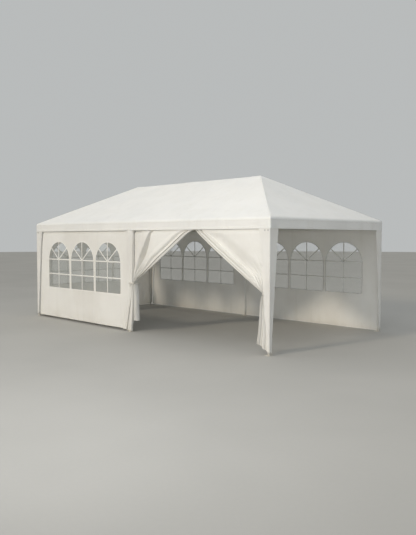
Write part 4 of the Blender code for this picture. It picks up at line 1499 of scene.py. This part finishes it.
# A curtain's sheet runs from the leg to a border with the zip, which ends in the free edge. Places are
# shares of the sheet between the leg and the border, at the top, half way down and at the band.
# Depths are inwards. A pleat is the number of its place, its depth at the top and at the band, its
# width and how late it deepens. The relief runs over the border from the free edge, and foldDepth
# runs from the valance down to the band. The valley is how far the sheet sinks beside its border.
curtainPlans = {
    "left": {
        "leg": 0.106, "way": 1.0, "seed": 2.0,  # x of its edge, and the way it runs from there
        "short": 0.053, "edgeSag": 0.008,  # how far it ends before the doorway's middle, and its sag
        "tieWidth": 0.030, "tailWidth": 0.110, "tailSpread": 0.35, "tailBottom": 0.200, "tailRise": 0.0,
        "tailFold": 0.017, "tailLine": 0.56, "tailStep": 0.50,  # depth and place of its open folds
        "flatBand": 0.0,  # width that stays flat in front of the leg
        "legDepth": 0.046, "strapRoom": 0.0, "drawFrom": 0.50,
        "border": 0.224, "borderTie": 0.33, "crest": 0.022, "zip": 0.325, "seam": 0.60,
        "relief": ((0.0, 0.026), (0.05, 0.010), (0.29, 0.000), (0.36, -0.012), (0.73, 0.013),
                   (0.80, -0.004), (0.865, -0.0125), (0.93, -0.019), (1.0, -0.022)),
        "places": ((0.17, 0.16, 0.11), (0.368, 0.345, 0.26), (0.435, 0.715, 0.40), (0.58, 0.80, 0.55),
                   (0.74, 0.87, 0.70), (0.89, 0.94, 0.86)),
        "fold": 2,  # it drops back from this place and ends at the next
        "foldDepth": ((0.0, 0.0520), (0.05, 0.0650), (0.22, 0.0884), (0.40, 0.1092), (0.53, 0.1170),
                      (0.66, 0.0806), (0.85, 0.0442), (1.0, 0.0442)),
        "valley": 0.0,
        "pleats": ((1, 0.002, 0.062, 0.020, 3.0), (4, 0.000, 0.066, 0.030, 4.0),
                   (5, 0.000, 0.066, 0.030, 4.0), (6, 0.000, 0.062, 0.028, 4.0)),
        "strap": (0.104, -(wallY + 0.0165), -(wallY - 0.112)),  # x by the leg, y in front and behind
        "strapBend": 0.009,
        "knot": (0.056, -(wallY + 0.0185)), "knotWay": -1.0,
    },
    "right": {
        "leg": 2.9894, "way": -1.0, "seed": 8.0,
        "short": 0.0, "edgeSag": 0.028,
        "tieWidth": 0.122, "tailWidth": 0.205, "tailSpread": 0.5, "tailBottom": 0.055, "tailRise": 0.09,
        "tailFold": 0.036, "tailLine": 0.71, "tailStep": 0.46,
        "flatBand": 0.046, "legDepth": 0.0, "strapRoom": 0.0036, "drawFrom": 0.35,
        "border": 0.185, "borderTie": 0.32, "crest": 0.003, "zip": 0.22, "seam": 0.66,
        "relief": ((0.0, 0.014), (0.04, 0.004), (0.08, -0.002), (0.13, 0.001), (0.21, 0.034),
                   (0.35, -0.002), (0.42, -0.005), (0.54, 0.000), (0.62, 0.038), (0.77, 0.000),
                   (0.84, -0.003), (1.0, -0.003)),
        "places": ((0.10, 0.10, 0.10), (0.30, 0.30, 0.30), (0.48, 0.48, 0.50), (0.66, 0.66, 0.70),
                   (0.84, 0.84, 0.90)),
        "fold": None,
        "valley": 0.052,
        "pleats": ((1, 0.003, 0.078, 0.034, 1.7), (2, 0.002, 0.080, 0.035, 5.0),
                   (3, 0.000, 0.080, 0.035, 5.6), (4, 0.000, 0.080, 0.035, 5.0),
                   (5, 0.000, 0.074, 0.030, 4.4)),
        "strap": (legX + 0.0205, -(wallY - 0.0014), -(legY - 0.0215)), "strapBend": 0.015,
        "knot": (2.925, -(legY - 0.0225)), "knotWay": 1.0,
    },
}
doorMiddle = (curtainPlans["left"]["leg"] + curtainPlans["right"]["leg"]) / 2
curtainWaves = makeWaves(41, 7, 0.8, 0.10)
tailWaves = makeWaves(42, 5, 0.5, 0.12)


def curtainTop(plan):  # its width behind the valance
    return abs(doorMiddle - plan["leg"]) - doorCurtain["apexGap"]


def borderStart(plan):  # as a share of the whole sheet
    return 1 - plan["border"] / curtainTop(plan)


def foldEnds(plan):  # where it starts and ends, as shares of the sheet up to the border
    return [plan["places"][plan["fold"] - 1 + k][0] for k in (0, 1)]


def curtainShares(plan):  # columns, closer together in the pleats, in the fold and in the border
    start = borderStart(plan)
    shares = list(np.linspace(0.0, start, 62)) + list(np.linspace(start, 1.0, 34))
    steps = np.array([0.0, 0.0035, 0.007, 0.011, 0.016, 0.023, 0.032, 0.044, 0.058])
    steps = np.concatenate([-steps[:0:-1], steps])
    for number, *_ in plan["pleats"]:
        shares += list(start * (plan["places"][number - 1][0] + steps))
    for place in doorCurtain["tiePleats"]:
        shares += list(1 - (1 - start) * (place + steps))
    for place, _ in plan["relief"]:
        shares += [1 - (1 - start) * (place + k) for k in (-0.012, 0.0, 0.012)]
    if plan["fold"]:
        first, last = foldEnds(plan)
        inside = list(np.linspace(-0.04, 0.40, 12)) + [0.5, 0.65, 0.8, 0.9, 0.925, 0.945, 0.965, 0.985]
        inside += [1.0, 1.04, 1.1]
        shares += [start * (first + (last - first) * s) for s in inside]
    kept = [0.0]
    for share in sorted(s for s in shares if 0.0 < s <= 1.0):
        if share - kept[-1] > 0.0006:
            kept.append(share)
    return np.array(kept[:-1] + [1.0])


def curtainSpread(plan, main, gather, room):  # where each column is at this height, and the places
    places = np.array([(0.0, 0.0, 0.0), *plan["places"], (1.0, 1.0, 1.0)])
    toMiddle = np.clip(gather / doorCurtain["halfWay"], 0.0, 1.0) ** 1.5
    toTie = smooth((gather - plan["drawFrom"]) / (1 - plan["drawFrom"])) ** 1.4
    tied = (1 - room + places[None, :, 2] * room) * (places[None, :, 0] > 0)
    now = places[None, :, 0] + (places[None, :, 1] - places[None, :, 0]) * toMiddle
    now = now + (tied - now) * toTie
    flatMain = np.ravel(main)
    before = np.clip(np.searchsorted(places[:, 0], flatMain, side="right") - 1, 0, len(places) - 2)
    part = (flatMain - places[before, 0]) / (places[before + 1, 0] - places[before, 0])
    return now[:, before] + (now[:, before + 1] - now[:, before]) * part[None, :], now, toTie


def foldInward(plan, main, gather, tail):
    first, last = foldEnds(plan)
    inside = (main - first) / (last - first)
    depth = np.interp(gather, *zip(*plan["foldDepth"])) * (1 - 0.8 * tail)
    back = 1 - smooth((inside - doorCurtain["foldEnd"]) / (1 - doorCurtain["foldEnd"]))
    return depth * smooth(inside / doorCurtain["foldRun"]) ** 1.2 * back


def borderInward(plan, share, fromEdge, beside, gather):  # the crest beside it, its relief and the valley
    onSheet = share < borderStart(plan)
    crest = -plan["crest"] * smooth(1 - beside / doorCurtain["crestRun"])
    relief = np.interp(fromEdge, *zip(*plan["relief"]))
    edge = doorCurtain["valleyEdge"]
    valley = np.where(onSheet, 1 - smooth(beside / doorCurtain["valleyRun"]),
                      smooth((fromEdge - edge) / (1 - edge)))
    valley = valley * smooth(gather / 0.15) * (1 - smooth((gather - 0.72) / 0.25))
    return np.where(onSheet, crest, relief) * (1 - 0.7 * gather ** 3) + plan["valley"] * valley


def curtainPlace(plan, share, z):  # share 0 at the leg, 1 at the free edge: a row; z: a column
    way, band, start, top = plan["way"], plan["flatBand"], borderStart(plan), curtainTop(plan)
    valance, tie, tieRoom = roofLow[2], doorCurtain["tie"], doorCurtain["tieRoom"]
    tieTop, tieBottom = tie + tieRoom, tie - tieRoom
    gather = np.clip((valance - z) / (valance - tieTop), 0.0, 1.0)
    below = np.clip((tieBottom - z) / (tieBottom - plan["tailBottom"]), 0.0, 1.0)
    tail = smooth(below * 4)
    top = top - plan["short"] * smooth((valance + 0.02 - z) / 0.06)
    width = top + (plan["tieWidth"] - top) * gather
    width = width + (plan["tailWidth"] - plan["tieWidth"]) * below ** plan["tailSpread"]
    border = np.minimum(plan["border"], plan["borderTie"] * width)  # keeps its width almost to the band
    main, fromEdge = np.clip(share / start, 0.0, 1.0), np.clip((1 - share) / (1 - start), 0.0, 1.0)
    room = 1 - np.clip((band + 0.007) / (width - border), 0.0, 1.0) if band else np.ones_like(width)
    spread, places, toTie = curtainSpread(plan, main, gather, room)
    across = np.where(share < start, spread * (width - border), width - border * fromEdge)
    wave = np.cos(2 * math.pi * (across / width - plan["tailLine"]) / plan["tailStep"])
    inward = plan["tailFold"] * (0.5 + 0.5 * wave) ** 1.6 * tail
    inward = inward + plan["legDepth"] * (1 - smooth(main / 0.24))
    if plan["fold"]:
        inward = inward + foldInward(plan, main, gather, tail)
    for number, depthTop, depthTie, wide, onset in plan["pleats"]:
        reach = wide + (doorCurtain["pleatSum"] / len(plan["pleats"]) * room - wide) * toTie
        reach = reach * (1 - doorCurtain["tailClose"] * tail)
        depth = depthTop + (depthTie - depthTop) * gather ** onset
        wave = uneven(tailWaves, number * 1.7 + plan["seed"], z * 1.2)
        depth = depth * (1 + doorCurtain["pleatUneven"] * wave)
        inward = inward + depth * bell(spread, places[:, number:number + 1], reach) * (share < start)
    inward = inward + borderInward(plan, share, fromEdge, (1 - spread) * (width - border), gather)
    for place in doorCurtain["tiePleats"]:
        line = bell(fromEdge, place, 0.060 - 0.030 * tail)
        inward = inward + doorCurtain["tiePleat"] * gather ** 6 * line * (share >= start)
    inward = inward * smooth((beamZ - 0.020 - z) / 0.09)  # flat where it hangs from the beam
    inward = inward + doorCurtain["fallBack"] * bell(z, valance - 0.012, 0.030)
    free = smooth((across - band) / 0.009) if band else 1.0  # flat in front of the corner leg
    sag = plan["edgeSag"] * np.sin(math.pi * gather) * share ** 2
    bulge = doorCurtain["bulge"] * np.sin(math.pi * gather) * np.sin(math.pi * share) ** 0.8
    soft = uneven(curtainWaves, share * 1.4 * (1 - 0.7 * gather) + plan["seed"], z * 0.9)
    soft = doorCurtain["crumple"] * soft * smooth((valance - z) / 0.12)
    turn = doorCurtain["twist"] * np.sin(7.0 * z + plan["seed"]) * below * share
    x = plan["leg"] + way * (across + sag + turn + 0.004 * gather)
    hang = smooth((valance - 0.005 - z) / 0.03)
    y = -(wallY - 0.0012) + inward * free - (bulge + soft) * free * hang
    y = np.maximum(y, -(wallY - 0.0006)) * (1 - hang) + y * hang  # behind the valance
    y = y + plan["strapRoom"] * bell(z, tie, 0.022)
    return together(x, y, z + plan["tailRise"] * below * (across / width) ** 1.5)


def curtainHeights(plan):
    valance, tie, room = roofLow[2], doorCurtain["tie"], doorCurtain["tieRoom"]
    heights = list(np.linspace(beamZ - 0.002, valance + 0.01, 8)) + list(np.linspace(valance, tie + room, 62))
    heights += [tie + room * 0.5, tie, tie - room * 0.5]
    tail = tie - room - plan["tailBottom"] - 0.03
    heights += list(tie - room - tail * np.linspace(0.0, 1.0, 44) ** 1.5)
    heights += [plan["tailBottom"] + s for s in (0.0288, 0.018, 0.008, 0.0012, 0.0)]  # its hem
    return np.array(heights)[::-1]


zipper = {"width": 0.0090, "profile": (0.0003, 0.0020, 0.0024, 0.0020, 0.0003), "pitch": 0.0050}


def addCurtainTrim(name, plan):  # its zip and its rows of stitches
    start = borderStart(plan)
    heights = np.linspace(roofLow[2] - 0.012, doorCurtain["tie"] + 0.075, 90)[:, None]

    def rowAt(fromEdge):
        shares = 1 - (1 - start) * np.array([[fromEdge - 0.02, fromEdge, fromEdge + 0.02]])
        grid = curtainPlace(plan, shares, heights)
        out = facing(grid)
        out = out * -np.sign(out[..., 1:2])  # towards the door's outside
        return grid[:, 1], out[:, 1]

    path, out = rowAt(plan["zip"])
    teeth = beadPart(path, out, zipper["width"], zipper["profile"], zipper["pitch"])
    meshPiece("curtain_zip_" + name, *teeth, "zipTeeth", None)
    rows = [stitchPart(*rowAt(place))
            for place in (0.08, plan["zip"] - 0.05, plan["zip"] + 0.05, plan["seam"])]
    meshPiece("curtain_stitches_" + name, *joinParts(rows), "thread", "wall_sheet")


def addCurtain(name, plan):
    shares, heights = curtainShares(plan), curtainHeights(plan)
    if plan["way"] < 0:
        shares = shares[::-1]
    grid = curtainPlace(plan, shares[None, :], heights[:, None])
    cut = abs(doorMiddle - plan["leg"])
    flat = together(shares[None, :] * cut, heights[:, None])
    piece = meshPiece("door_curtain_sheet_" + name, *gridPart(grid, flat), "wallSheet", "wall_sheet",
                      ("door_curtain_" + name,))
    thicken(piece, doorCurtain["thickness"])
    height = beamZ - plan["tailBottom"]
    "strap_" + name
    addCurtainTrim(name, plan)


tieStrap = {"height": 0.024, "thickness": 0.0018, "past": 0.008, "slack": 0.0015}


def roundedPath(corners, radius, closed):  # straight runs with round corners, as points
    made = []
    for k, corner in enumerate(corners):
        corner = np.array(corner)
        if not closed and k in (0, len(corners) - 1):
            made.append(corner)
            continue
        before, after = np.array(corners[k - 1]), np.array(corners[(k + 1) % len(corners)])
        into = (before - corner) / np.linalg.norm(before - corner)
        away = (after - corner) / np.linalg.norm(after - corner)
        for s in np.linspace(0.0, 1.0, 6):
            made.append(corner + radius * (into * (1 - s) ** 2 + away * s ** 2))
    if closed:
        made.append(made[0])
    fine = []
    for a, b in zip(made[:-1], made[1:]):
        steps = max(1, int(np.linalg.norm(b - a) / 0.008))
        fine += [a + (b - a) * k / steps for k in range(steps)]
    return np.array(fine if closed else fine + [made[-1]])


def addStrap(name, plan):
    near, front, back = plan["strap"]
    far = plan["leg"] + plan["way"] * (plan["tieWidth"] + tieStrap["past"])
    whole = plan["way"] < 0
    if whole:  # this one goes round the corner leg too, behind the corner's wrap
        corners = [(far, front), (near, front), (near, back), (far, back)]
    else:  # this one is sewn to the wall in front of the post
        corners = [(0.018, front + 0.003), (0.040, front), (far, front), (far, back), (near, back),
                   (near, back - 0.030)]
    fine = roundedPath(corners, plan["strapBend"], whole)
    length = lengthAlong(fine)
    across = np.linspace(-0.5, 0.5, 5)[:, None] * tieStrap["height"]
    up = doorCurtain["tie"] + across + tieStrap["slack"] * np.sin(length * 60)
    part = gridPart(together(fine[:, 0], fine[:, 1], up), together(length, across), closed=whole)
    piece = meshPiece("strap_" + name, *part, "webbing", "wall_sheet", ("curtain_tie_" + name,))
    thicken(piece, tieStrap["thickness"], 0.0)


strapKnot = {
    "radius": 0.0105,
    "height": 0.0085,
    "tail": 0.062,
    "spread": 0.010,
    "width": 0.013,
    "profile": (0.0, 0.0014, 0.0018, 0.0014, 0.0),
}


def addKnot(name, plan):  # the strap's ends are tied in a knot and hang down
    spot = np.array([*plan["knot"], doorCurtain["tie"]])
    out = np.array([0.0, plan["knotWay"], 0.0])
    parts = [domePart(spot, out, strapKnot["radius"], strapKnot["height"])]
    for hand, share in ((-1, 1.0), (1, 0.78)):
        steps = np.linspace(0.0, 1.0, 14)
        path = spot + out * (0.0035 * (1 - steps) + 0.0012 * np.sin(5 * steps + hand))[:, None]
        path[:, 0] += hand * strapKnot["spread"] * smooth(steps * 1.4)
        path[:, 2] -= strapKnot["tail"] * share * steps
        parts.append(beadPart(path, out, strapKnot["width"], strapKnot["profile"]))
    meshPiece("strap_knot_" + name, *joinParts(parts), "webbing", "wall_sheet")


for curtainName, curtainPlan in curtainPlans.items():
    addCurtain(curtainName, curtainPlan)
    addStrap(curtainName, curtainPlan)
    addKnot(curtainName, curtainPlan)
print("door curtains built")


# floor

def buildFloor():
    sides = studio["floorSides"]
    turns = [2 * math.pi * k / sides for k in range(sides)]
    rings = np.array([[(radius * math.cos(a), radius * math.sin(a), -studio["floorDrop"]) for a in turns]
                      for radius in studio["floorRadii"]])
    points, faces, _ = gridPart(rings, rings[..., :2], closed=True)
    mesh = bpy.data.meshes.new("floor")
    mesh.from_pydata(points, [], faces)
    mesh.uv_layers.new(name="cloth")
    mesh.materials.append(finishes["paleFloor"])
    floor = bpy.data.objects.new("floor", mesh)
    bpy.context.scene.collection.objects.link(floor)


buildFloor()
print("floor laid")
